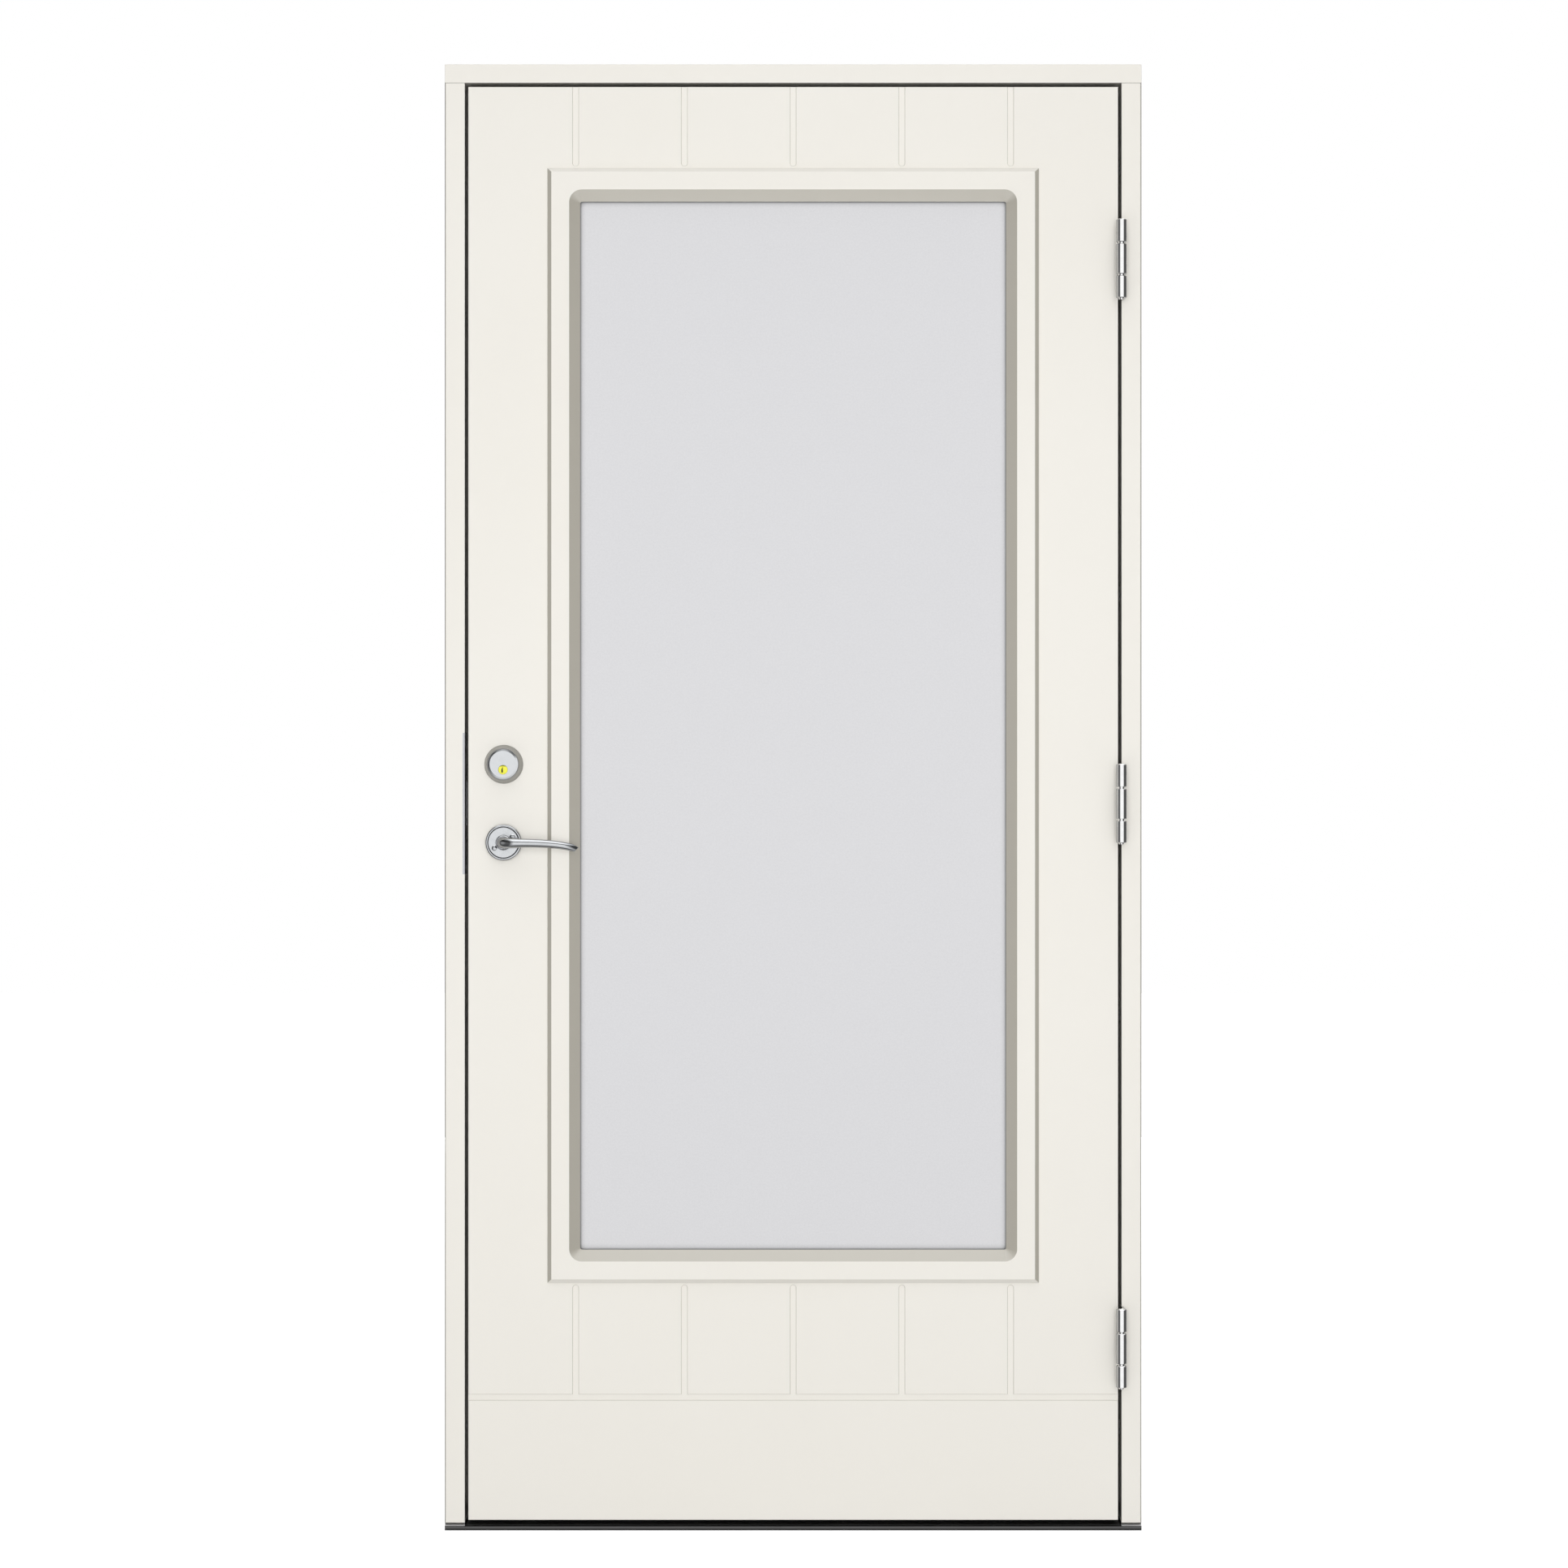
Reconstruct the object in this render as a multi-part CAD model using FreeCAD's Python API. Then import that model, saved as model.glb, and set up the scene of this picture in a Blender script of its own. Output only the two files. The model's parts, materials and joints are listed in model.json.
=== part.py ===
import FreeCAD, Part
import math
import os

# A glazed exterior door in its frame, in millimetres.
# X runs to the right seen from outside, Y into the house and Z up.
# The origin is the middle of the underside of the threshold.

V = FreeCAD.Vector

# Frame
FRAME_WIDTH = 990.0
FRAME_HEIGHT = 2083.0
FRAME_DEPTH = 105.0
JAMB_THICKNESS = 28.3
HEAD_THICKNESS = 26.8
STOP_THICKNESS = 16.7
SEAL_THICKNESS = 5.7
SEAL_WIDTH = 9.0
SEAL_CLEARANCE = 0.3
ARRIS = 2.0
HEAD_ARRIS = 0.8

# Threshold
SILL_THICKNESS = 5.5
SEAT_THICKNESS = 5.5
SEAT_SLOPE = 5.0
UPSTAND_HEIGHT = 25.0
UPSTAND_SLOPE = 6.0

# Leaf
LEAF_THICKNESS = 62.0
SKIN_THICKNESS = 8.0
SIDE_GAP = 5.0
HEAD_GAP = 5.2
LEAF_BOTTOM = 14.6
STILE_WIDTH = 133.0
TOP_RAIL_HEIGHT = 136.5
BOTTOM_RAIL_HEIGHT = 357.7
LEAF_ARRIS = 1.0

# Grooves in both faces of the leaf
GROOVE_WIDTH = 9.5
GROOVE_DEPTH = 1.8
GROOVE_FLANK = 0.9
GROOVE_PITCH = 154.5
GROOVE_COUNT = 5
GROOVE_END_GAP = 3.2
CROSS_GROOVE_RISE = 174.4

# Glazing
BEAD_OVERLAP = 20.0
BEAD_RAISE = 10.0
BEAD_CHAMFER = 5.8
BEAD_BEVEL = 14.7
SIGHT_MARGIN = 25.8
SIGHT_CORNER = 3.0
BEAD_CLEARANCE = 1.0
GASKET_THICKNESS = 2.0
GASKET_WIDTH = 12.0
GASKET_SETBACK = 1.0
PANE_COUNT = 3
PANE_THICKNESS = 4.0
PANE_SPACE = 12.0
PANE_CLEARANCE = 4.0
SPACER_WIDTH = 10.0
SPACER_SETBACK = 5.0

# Hinges
HINGE_INSET = 247.6
AXIS_OUT = 21.0
BARREL_RADIUS = 7.4
BARREL_ARRIS = 0.8
PIN_RADIUS = 3.8
PIN_CLEARANCE = 0.08
PIN_SEAT_CLEARANCE = 0.02
LOWER_KNUCKLE = 31.2
MIDDLE_KNUCKLE = 43.0
UPPER_KNUCKLE = 32.2
KNUCKLE_GAP = 2.4
COLLAR_RADIUS = 4.4
COLLAR_CLEARANCE = 0.1
PIN_HEAD = 0.6
PIN_FOOT = 2.2
PIN_FOOT_RADIUS = 3.2
WING_THICKNESS = 2.5
WING_DEPTH = 30.0
WING_CORNER = 8.0

# Lock and handle
BACKSET = 50.6
LEVER_HEIGHT = 977.3
CYLINDER_RISE = 111.1
ROSE_RADIUS = 25.6
ROSE_THICKNESS = 8.0
ROSE_RIM = 4.5
ROSE_RIM_GROOVE = 0.8
ROSE_RIM_DEPTH = 1.6
ROSE_RIM_EDGE = 1.3
ROSE_EDGE = 2.2
ROSE_BOSS_RADIUS = 10.8
ROSE_BOSS_HEIGHT = 5.0
ROSE_BOSS_EDGE = 3.0
SCREW_RADIUS = 3.85
SCREW_HEIGHT = 1.2
SCREW_CIRCLE = 15.0
SCREW_ANGLE = 32.0
NECK_RADIUS = 7.2
NECK_LENGTH = 50.0
NECK_CLEARANCE = 0.08
NECK_BACK = 1.0
NECK_STEP = 0.15
ELBOW_BEND = 13.0
LEVER_LENGTH = 108.4
ELBOW_STATIONS = 5
GRIP_HEIGHT = 13.4
GRIP_DEPTH = 14.0
GRIP_END_HEIGHT = 10.0
GRIP_END_DEPTH = 8.5
GRIP_DROOP = 9.0
GRIP_DROOP_POWER = 4
GRIP_RETURN = 6.5
GRIP_RETURN_POWER = 5
GRIP_STATIONS = 9
GRIP_CREST = 0.2
SECTION_POINTS = 24
TIP_OVERRUN = 0.08
TIP_DROP = 2.5
TIP_ANGLE = 45.0
SHOULDER_ANGLE = 32.0
SPINDLE_SIDE = 8.0
SPINDLE_INSERT = 20.0
SPINDLE_FIT = 0.05
SPINDLE_HOLE_RADIUS = 10.0
CYLINDER_RING_RADIUS = 27.5
CYLINDER_RING_TOP_RADIUS = 23.0
CYLINDER_RING_HEIGHT = 13.0
CYLINDER_RING_BASE = 1.0
CYLINDER_RING_EDGE = 0.6
CYLINDER_RADIUS = 21.4
CYLINDER_FACE_RADIUS = 19.0
CYLINDER_BEVEL = 0.8
CYLINDER_HEIGHT = 14.5
CYLINDER_CLEARANCE = 0.3
BODY_RADIUS = 15.0
PLUG_RADIUS = 6.75
PLUG_DROP = 7.8
PLUG_RAISE = 0.6
PLUG_LENGTH = 12.0
KEYWAY_WIDTH = 1.4
KEYWAY_HEIGHT = 7.5
KEYWAY_DEPTH = 5.0
TURN_ROSE_HEIGHT = 9.0
TURN_ROSE_EDGE = 1.5
TURN_STEM_RADIUS = 7.0
TURN_STEM_LENGTH = 7.0
TURN_LENGTH = 34.0
TURN_WIDTH = 11.0
TURN_DEPTH = 14.0
TURN_EDGE = 3.5
CASE_LENGTH = 172.0
CASE_DEPTH = 72.0
CASE_THICKNESS = 15.0
CASE_CLEARANCE = 0.5
FOREND_LENGTH = 235.0
FOREND_WIDTH = 22.0
FOREND_THICKNESS = 3.0
FOREND_CLEARANCE = 0.2
LATCH_HEIGHT = 28.0
LATCH_WIDTH = 12.0
LATCH_DEPTH = 24.0
LATCH_RISE = 55.2
LATCH_CLEARANCE = 0.3
STRIKE_LENGTH = 201.0
STRIKE_THICKNESS = 3.0
STRIKE_DEPTH = 46.0
STRIKE_MOUTH_LENGTH = 62.0
STRIKE_MOUTH_WIDTH = 18.0
STRIKE_POCKET_DEPTH = 18.0

# Frame fixings
FIXING_INSET = 141.5
FIXING_STRIKE_GAP = 199.5
SLEEVE_RADIUS = 9.0
SLEEVE_BORE = 5.5
SLEEVE_FLANGE_RADIUS = 11.0
SLEEVE_FLANGE = 2.0

# Places that follow from the sizes
FRONT = -FRAME_DEPTH / 2
BACK = FRAME_DEPTH / 2
LEAF_BACK = FRONT + LEAF_THICKNESS
LEAF_MIDDLE = (FRONT + LEAF_BACK) / 2
JAMB_FACE = FRAME_WIDTH / 2 - JAMB_THICKNESS
HEAD_FACE = FRAME_HEIGHT - HEAD_THICKNESS
STOP_FACE = JAMB_FACE - STOP_THICKNESS
STOP_TOP = HEAD_FACE - STOP_THICKNESS
STOP_FRONT = LEAF_BACK + SEAL_CLEARANCE + SEAL_THICKNESS
JAMB_FOOT = SILL_THICKNESS + SEAT_THICKNESS
LEAF_EDGE = JAMB_FACE - SIDE_GAP
LEAF_TOP = HEAD_FACE - HEAD_GAP
CORE_FRONT = FRONT + SKIN_THICKNESS
CORE_BACK = LEAF_BACK - SKIN_THICKNESS
APERTURE_EDGE = LEAF_EDGE - STILE_WIDTH
APERTURE_BOTTOM = LEAF_BOTTOM + BOTTOM_RAIL_HEIGHT
APERTURE_TOP = LEAF_TOP - TOP_RAIL_HEIGHT
SIGHT_EDGE = APERTURE_EDGE - SIGHT_MARGIN
SIGHT_BOTTOM = APERTURE_BOTTOM + SIGHT_MARGIN
SIGHT_TOP = APERTURE_TOP - SIGHT_MARGIN
GLASS_FRONT = CORE_FRONT
GLASS_BACK = GLASS_FRONT + PANE_COUNT * PANE_THICKNESS + (PANE_COUNT - 1) * PANE_SPACE
AXIS_X = (JAMB_FACE + LEAF_EDGE) / 2
AXIS_Y = FRONT - AXIS_OUT
HINGE_HEIGHTS = {
    "bottom": LEAF_BOTTOM + HINGE_INSET,
    "middle": (LEAF_BOTTOM + LEAF_TOP) / 2,
    "top": LEAF_TOP - HINGE_INSET,
}
LOCK_X = BACKSET - LEAF_EDGE
CYLINDER_Z = LEVER_HEIGHT + CYLINDER_RISE
LATCH_Z = LEVER_HEIGHT + LATCH_RISE
FIXING_HEIGHTS = [
    FIXING_INSET,
    LATCH_Z - STRIKE_LENGTH / 2 - FIXING_STRIKE_GAP,
    LATCH_Z + STRIKE_LENGTH / 2 + FIXING_STRIKE_GAP,
    FRAME_HEIGHT - FIXING_INSET,
]


def box(x0, x1, y0, y1, z0, z1):
    return Part.makeBox(x1 - x0, y1 - y0, z1 - z0, V(x0, y0, z0))


def rod(radius, start, end):
    axis = end - start
    return Part.makeCylinder(radius, axis.Length, start, axis)


def turned(profile):
    # A profile of (radius, distance) points, spun about Z.
    points = [V(radius, 0, along) for radius, along in profile]
    face = Part.Face(Part.makePolygon(points + points[:1]))
    return face.revolve(V(0, 0, 0), V(0, 0, 1), 360)


def placed(body, centre, axis):
    # A body made about Z, moved so that its Z axis points along the given axis from the centre.
    body.Placement = FreeCAD.Placement(centre, FreeCAD.Rotation(V(0, 0, 1), axis))
    return body


def edges_along(shape, axis):
    found = []
    for edge in shape.Edges:
        span = edge.Vertexes[-1].Point - edge.Vertexes[0].Point
        if span.Length > 0 and abs(span.normalize().dot(axis)) > 0.999:
            found.append(edge)
    return found


def edges_in_plane(shape, axis, place):
    tolerance = 0.001
    found = []
    for edge in shape.Edges:
        if all(abs(corner.Point.dot(axis) - place) < tolerance for corner in edge.Vertexes):
            found.append(edge)
    return found


def rounded_panel(edge, z0, z1, y0, y1, radius):
    # A panel that is as wide to the left as to the right, with round corners seen from the front.
    panel = box(-edge, edge, y0, y1, z0, z1)
    return panel.makeFillet(radius, edges_along(panel, V(0, 1, 0)))


def round_edges(body, radius, places):
    # Rounds the circular edges at the (radius, distance along the axis) places of a turned body.
    tolerance = 0.01
    chosen = []
    for edge in body.Edges:
        if not edge.Closed or not hasattr(edge.Curve, "Radius"):
            continue
        for wanted, along in places:
            low = abs(edge.Curve.Center.z - along) < tolerance
            if low and abs(edge.Curve.Radius - wanted) < tolerance:
                chosen.append(edge)
    return body.makeFillet(radius, chosen)


def to_inside(shape):
    # The same piece on the inner face of the leaf.
    return shape.mirror(V(0, LEAF_MIDDLE, 0), V(0, 1, 0))


# Frame

def frame_head():
    half = FRAME_WIDTH / 2
    board = box(-half, half, FRONT, BACK, HEAD_FACE, FRAME_HEIGHT)
    return board.makeFillet(HEAD_ARRIS, board.Edges)


def jamb(side):
    outer = side * FRAME_WIDTH / 2
    inner = side * JAMB_FACE
    board = box(min(outer, inner), max(outer, inner), FRONT, BACK, JAMB_FOOT, HEAD_FACE)
    outer_edges = [
        edge
        for edge in edges_along(board, V(0, 0, 1))
        if abs(edge.CenterOfMass.x - outer) < ARRIS
    ]
    board = board.makeFillet(ARRIS, outer_edges)
    for height in FIXING_HEIGHTS:
        board = board.cut(sleeve_outline(side, height))
    return board


def frame_jamb_lock_side():
    board = jamb(-1).cut(strike_blank())
    pocket = box(
        -JAMB_FACE - STRIKE_THICKNESS - STRIKE_POCKET_DEPTH,
        -JAMB_FACE - STRIKE_THICKNESS,
        LEAF_MIDDLE - STRIKE_MOUTH_WIDTH / 2,
        LEAF_MIDDLE + STRIKE_MOUTH_WIDTH / 2,
        LATCH_Z - STRIKE_MOUTH_LENGTH / 2,
        LATCH_Z + STRIKE_MOUTH_LENGTH / 2,
    )
    return board.cut(pocket)


def frame_jamb_hinge_side():
    board = jamb(1)
    for height in HINGE_HEIGHTS.values():
        board = board.cut(frame_wing(height))
    return board


def frame_stop(side):
    inner = side * STOP_FACE
    outer = side * JAMB_FACE
    return box(min(inner, outer), max(inner, outer), STOP_FRONT, BACK, UPSTAND_HEIGHT, HEAD_FACE)


def frame_stop_head():
    return box(-STOP_FACE, STOP_FACE, STOP_FRONT, BACK, STOP_TOP, HEAD_FACE)


def frame_seal():
    # Weather strip on the front of the stops, on both sides and along the top.
    y0 = LEAF_BACK + SEAL_CLEARANCE
    outer = STOP_FACE + SEAL_WIDTH
    strip = box(-outer, outer, y0, STOP_FRONT, UPSTAND_HEIGHT, STOP_TOP + SEAL_WIDTH)
    return strip.cut(box(-STOP_FACE, STOP_FACE, y0, STOP_FRONT, UPSTAND_HEIGHT, STOP_TOP))


def threshold_sill():
    half = FRAME_WIDTH / 2
    plate = box(-half, half, FRONT, BACK, 0, SILL_THICKNESS)
    for side in (-1, 1):
        plate = plate.fuse(threshold_seat(side))
    return plate.removeSplitter()


def threshold_seat(side):
    # Thicker end of the sill, which slopes at the front and carries the jamb.
    profile = [
        V(0, FRONT, SILL_THICKNESS),
        V(0, BACK, SILL_THICKNESS),
        V(0, BACK, JAMB_FOOT),
        V(0, FRONT + SEAT_SLOPE, JAMB_FOOT),
    ]
    face = Part.Face(Part.makePolygon(profile + profile[:1]))
    seat = face.extrude(V(side * JAMB_THICKNESS, 0, 0))
    seat.translate(V(side * JAMB_FACE, 0, 0))
    return seat


def threshold_upstand():
    # Raised rear part of the threshold, which the foot of the leaf closes against.
    profile = [
        V(0, STOP_FRONT, SILL_THICKNESS),
        V(0, BACK, SILL_THICKNESS),
        V(0, BACK, UPSTAND_HEIGHT - UPSTAND_SLOPE),
        V(0, BACK - 2 * UPSTAND_SLOPE, UPSTAND_HEIGHT),
        V(0, STOP_FRONT, UPSTAND_HEIGHT),
    ]
    face = Part.Face(Part.makePolygon(profile + profile[:1]))
    strip = face.extrude(V(2 * JAMB_FACE, 0, 0))
    strip.translate(V(-JAMB_FACE, 0, 0))
    return strip


def threshold_seal():
    y0 = LEAF_BACK + SEAL_CLEARANCE
    bottom = UPSTAND_HEIGHT - SEAL_WIDTH
    return box(-JAMB_FACE, JAMB_FACE, y0, STOP_FRONT, bottom, UPSTAND_HEIGHT)


def strike_blank():
    low = LATCH_Z - STRIKE_LENGTH / 2
    high = LATCH_Z + STRIKE_LENGTH / 2
    return box(-JAMB_FACE - STRIKE_THICKNESS, -JAMB_FACE, FRONT, FRONT + STRIKE_DEPTH, low, high)


def strike_plate():
    mouth = box(
        -JAMB_FACE - STRIKE_THICKNESS,
        -JAMB_FACE,
        LEAF_MIDDLE - STRIKE_MOUTH_WIDTH / 2,
        LEAF_MIDDLE + STRIKE_MOUTH_WIDTH / 2,
        LATCH_Z - STRIKE_MOUTH_LENGTH / 2,
        LATCH_Z + STRIKE_MOUTH_LENGTH / 2,
    )
    return strike_blank().cut(mouth)


def sleeve_outline(side, height):
    inner = V(side * JAMB_FACE, LEAF_MIDDLE, height)
    flange_end = inner + V(side * SLEEVE_FLANGE, 0, 0)
    outer = V(side * FRAME_WIDTH / 2, inner.y, height)
    return rod(SLEEVE_FLANGE_RADIUS, inner, flange_end).fuse(rod(SLEEVE_RADIUS, inner, outer))


def frame_fixing_sleeves():
    sleeves = []
    for side in (-1, 1):
        for height in FIXING_HEIGHTS:
            start = V(side * JAMB_FACE, LEAF_MIDDLE, height)
            end = V(side * FRAME_WIDTH / 2, LEAF_MIDDLE, height)
            sleeves.append(sleeve_outline(side, height).cut(rod(SLEEVE_BORE, start, end)))
    return Part.makeCompound(sleeves)


# Hinges

def knuckle_levels(height):
    total = LOWER_KNUCKLE + MIDDLE_KNUCKLE + UPPER_KNUCKLE + 2 * KNUCKLE_GAP
    low = height - total / 2
    first = low + LOWER_KNUCKLE
    second = first + KNUCKLE_GAP + MIDDLE_KNUCKLE
    return low, first, first + KNUCKLE_GAP, second, second + KNUCKLE_GAP, low + total


def knuckle(z0, z1, bore):
    barrel = rod(BARREL_RADIUS, V(AXIS_X, AXIS_Y, z0), V(AXIS_X, AXIS_Y, z1))
    barrel = barrel.makeChamfer(BARREL_ARRIS, [e for e in barrel.Edges if e.Closed])
    return barrel.cut(rod(bore, V(AXIS_X, AXIS_Y, z0), V(AXIS_X, AXIS_Y, z1)))


def wing(x0, x1, height):
    low, _, _, _, _, high = knuckle_levels(height)
    plate = box(x0, x1, FRONT, FRONT + WING_DEPTH, low, high)
    rear = [
        edge
        for edge in edges_along(plate, V(1, 0, 0))
        if edge.CenterOfMass.y > FRONT + WING_DEPTH / 2
    ]
    return plate.makeFillet(WING_CORNER, rear)


def frame_wing(height):
    return wing(JAMB_FACE, JAMB_FACE + WING_THICKNESS, height)


def leaf_wing(height):
    return wing(LEAF_EDGE - WING_THICKNESS, LEAF_EDGE, height)


def hinge_frame_half(height):
    low, first, _, _, fourth, high = knuckle_levels(height)
    bore = PIN_RADIUS + PIN_SEAT_CLEARANCE
    half = frame_wing(height)
    for z0, z1 in ((low, first), (fourth, high)):
        arm = box(JAMB_FACE, JAMB_FACE + WING_THICKNESS, AXIS_Y, FRONT, z0, z1)
        hole = rod(BARREL_RADIUS - BARREL_ARRIS, V(AXIS_X, AXIS_Y, z0), V(AXIS_X, AXIS_Y, z1))
        half = half.fuse(arm.cut(hole)).fuse(knuckle(z0, z1, bore))
    return half.removeSplitter()


def hinge_leaf_half(height):
    _, _, second, third, _, _ = knuckle_levels(height)
    bore = PIN_RADIUS + PIN_CLEARANCE
    arm = box(LEAF_EDGE - WING_THICKNESS, LEAF_EDGE, AXIS_Y, FRONT, second, third)
    hole = rod(
        BARREL_RADIUS - BARREL_ARRIS, V(AXIS_X, AXIS_Y, second), V(AXIS_X, AXIS_Y, third)
    )
    half = leaf_wing(height).fuse(arm.cut(hole)).fuse(knuckle(second, third, bore))
    return half.removeSplitter()


def hinge_pin(height):
    # Pin with a bearing collar in each joint between two knuckles.
    low, first, second, third, fourth, high = knuckle_levels(height)
    gap = COLLAR_CLEARANCE
    profile = [
        (0, low - PIN_FOOT),
        (PIN_FOOT_RADIUS, low - PIN_FOOT),
        (PIN_RADIUS, low),
        (PIN_RADIUS, first),
        (COLLAR_RADIUS, first),
        (COLLAR_RADIUS, second - gap),
        (PIN_RADIUS, second - gap),
        (PIN_RADIUS, third + gap),
        (COLLAR_RADIUS, third + gap),
        (COLLAR_RADIUS, fourth),
        (PIN_RADIUS, fourth),
        (PIN_RADIUS, high),
        (PIN_FOOT_RADIUS, high + PIN_HEAD),
        (0, high + PIN_HEAD),
    ]
    return placed(turned(profile), V(AXIS_X, AXIS_Y, 0), V(0, 0, 1))


# Leaf

def groove_prism(length):
    # A groove along Z from the origin, open to the front.
    half = GROOVE_WIDTH / 2
    floor_half = half - GROOVE_FLANK
    profile = [
        V(-half, 0, 0),
        V(half, 0, 0),
        V(floor_half, GROOVE_DEPTH, 0),
        V(-floor_half, GROOVE_DEPTH, 0),
    ]
    face = Part.Face(Part.makePolygon(profile + profile[:1]))
    return face.extrude(V(0, 0, length))


def groove_end():
    half = GROOVE_WIDTH / 2
    return Part.makeCone(half, half - GROOVE_FLANK, GROOVE_DEPTH, V(0, 0, 0), V(0, 1, 0))


def grooves():
    end_gap = GROOVE_END_GAP + GROOVE_WIDTH / 2
    upper_bottom = APERTURE_TOP + BEAD_OVERLAP + end_gap
    lower_top = APERTURE_BOTTOM - BEAD_OVERLAP - end_gap
    cross_height = LEAF_BOTTOM + CROSS_GROOVE_RISE
    cutters = []
    for index in range(GROOVE_COUNT):
        x = (index - (GROOVE_COUNT - 1) / 2) * GROOVE_PITCH
        upper = (upper_bottom, LEAF_TOP, upper_bottom)
        lower = (cross_height, lower_top, lower_top)
        for bottom, top, round_end in (upper, lower):
            prism = groove_prism(top - bottom)
            prism.translate(V(x, FRONT, bottom))
            end = groove_end()
            end.translate(V(x, FRONT, round_end))
            cutters.append(prism.fuse(end))
    cross = groove_prism(2 * LEAF_EDGE)
    cross.rotate(V(0, 0, 0), V(0, 1, 0), 90)
    cross.translate(V(-LEAF_EDGE, FRONT, cross_height))
    cutters.append(cross)
    return cutters


def handle_holes(y0, y1):
    spindle_hole = rod(SPINDLE_HOLE_RADIUS, V(LOCK_X, y0, LEVER_HEIGHT), V(LOCK_X, y1, LEVER_HEIGHT))
    radius = BODY_RADIUS + CYLINDER_CLEARANCE
    cylinder_hole = rod(radius, V(LOCK_X, y0, CYLINDER_Z), V(LOCK_X, y1, CYLINDER_Z))
    return [spindle_hole, cylinder_hole]


def leaf_skin():
    board = box(-LEAF_EDGE, LEAF_EDGE, FRONT, CORE_FRONT, LEAF_BOTTOM, LEAF_TOP)
    board = board.makeFillet(LEAF_ARRIS, edges_in_plane(board, V(0, 1, 0), FRONT))
    opening = box(
        -APERTURE_EDGE, APERTURE_EDGE, FRONT, CORE_FRONT, APERTURE_BOTTOM, APERTURE_TOP
    )
    for cutter in [opening] + grooves() + handle_holes(FRONT, CORE_FRONT):
        board = board.cut(cutter)
    return board


def leaf_outer_skin():
    board = leaf_skin()
    for height in HINGE_HEIGHTS.values():
        board = board.cut(leaf_wing(height))
    return board


def leaf_inner_skin():
    return to_inside(leaf_skin())


def lock_pocket():
    gap = CASE_CLEARANCE
    low, high = case_levels()
    case = box(
        -LEAF_EDGE,
        -LEAF_EDGE + CASE_DEPTH + gap,
        LEAF_MIDDLE - CASE_THICKNESS / 2 - gap,
        LEAF_MIDDLE + CASE_THICKNESS / 2 + gap,
        low - gap,
        high + gap,
    )
    return case.fuse(forend_outline(FOREND_CLEARANCE))


def case_levels():
    return LATCH_Z - CASE_LENGTH / 2, LATCH_Z + CASE_LENGTH / 2


def forend_outline(gap):
    return box(
        -LEAF_EDGE,
        -LEAF_EDGE + FOREND_THICKNESS,
        LEAF_MIDDLE - FOREND_WIDTH / 2 - gap,
        LEAF_MIDDLE + FOREND_WIDTH / 2 + gap,
        LATCH_Z - FOREND_LENGTH / 2 - gap,
        LATCH_Z + FOREND_LENGTH / 2 + gap,
    )


def latch_box(gap):
    return box(
        -LEAF_EDGE,
        -LEAF_EDGE + LATCH_DEPTH,
        LEAF_MIDDLE - LATCH_WIDTH / 2 - gap,
        LEAF_MIDDLE + LATCH_WIDTH / 2 + gap,
        LATCH_Z - LATCH_HEIGHT / 2 - gap,
        LATCH_Z + LATCH_HEIGHT / 2 + gap,
    )


def leaf_stile_lock_side():
    stile = box(-LEAF_EDGE, -APERTURE_EDGE, CORE_FRONT, CORE_BACK, LEAF_BOTTOM, LEAF_TOP)
    for cutter in [lock_pocket()] + handle_holes(CORE_FRONT, CORE_BACK):
        stile = stile.cut(cutter)
    return stile


def leaf_stile_hinge_side():
    stile = box(APERTURE_EDGE, LEAF_EDGE, CORE_FRONT, CORE_BACK, LEAF_BOTTOM, LEAF_TOP)
    for height in HINGE_HEIGHTS.values():
        stile = stile.cut(leaf_wing(height))
    return stile


def leaf_rail(z0, z1):
    return box(-APERTURE_EDGE, APERTURE_EDGE, CORE_FRONT, CORE_BACK, z0, z1)


# Glazing

def bead_frame(neck_end):
    # Raised frame round the glass, with a neck that reaches into the leaf as far as neck_end.
    flange_edge = APERTURE_EDGE + BEAD_OVERLAP
    flange_bottom = APERTURE_BOTTOM - BEAD_OVERLAP
    flange_top = APERTURE_TOP + BEAD_OVERLAP
    face = FRONT - BEAD_RAISE
    flange = box(-flange_edge, flange_edge, face, FRONT, flange_bottom, flange_top)
    flange = flange.makeChamfer(BEAD_CHAMFER, edges_in_plane(flange, V(0, 1, 0), face))
    neck_edge = APERTURE_EDGE - BEAD_CLEARANCE
    neck_bottom = APERTURE_BOTTOM + BEAD_CLEARANCE
    neck_top = APERTURE_TOP - BEAD_CLEARANCE
    ring = flange.fuse(box(-neck_edge, neck_edge, FRONT, neck_end, neck_bottom, neck_top))
    ring = ring.cut(
        rounded_panel(SIGHT_EDGE, SIGHT_BOTTOM, SIGHT_TOP, face, neck_end, SIGHT_CORNER)
    )
    sight_edges = [
        edge
        for edge in edges_in_plane(ring, V(0, 1, 0), face)
        if abs(edge.CenterOfMass.x) < SIGHT_EDGE + 1
        and SIGHT_BOTTOM - 1 < edge.CenterOfMass.z < SIGHT_TOP + 1
    ]
    return ring.makeChamfer(BEAD_BEVEL, sight_edges)


def glazing_frame_outside():
    return bead_frame(GLASS_FRONT - GASKET_THICKNESS)


def glazing_frame_inside():
    outside_depth = LEAF_BACK - GLASS_BACK - GASKET_THICKNESS
    return to_inside(bead_frame(FRONT + outside_depth))


def ring_of(edge, bottom, top, width, y0, y1):
    outer = box(-edge, edge, y0, y1, bottom, top)
    inner = box(-edge + width, edge - width, y0, y1, bottom + width, top - width)
    return outer.cut(inner)


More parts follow.
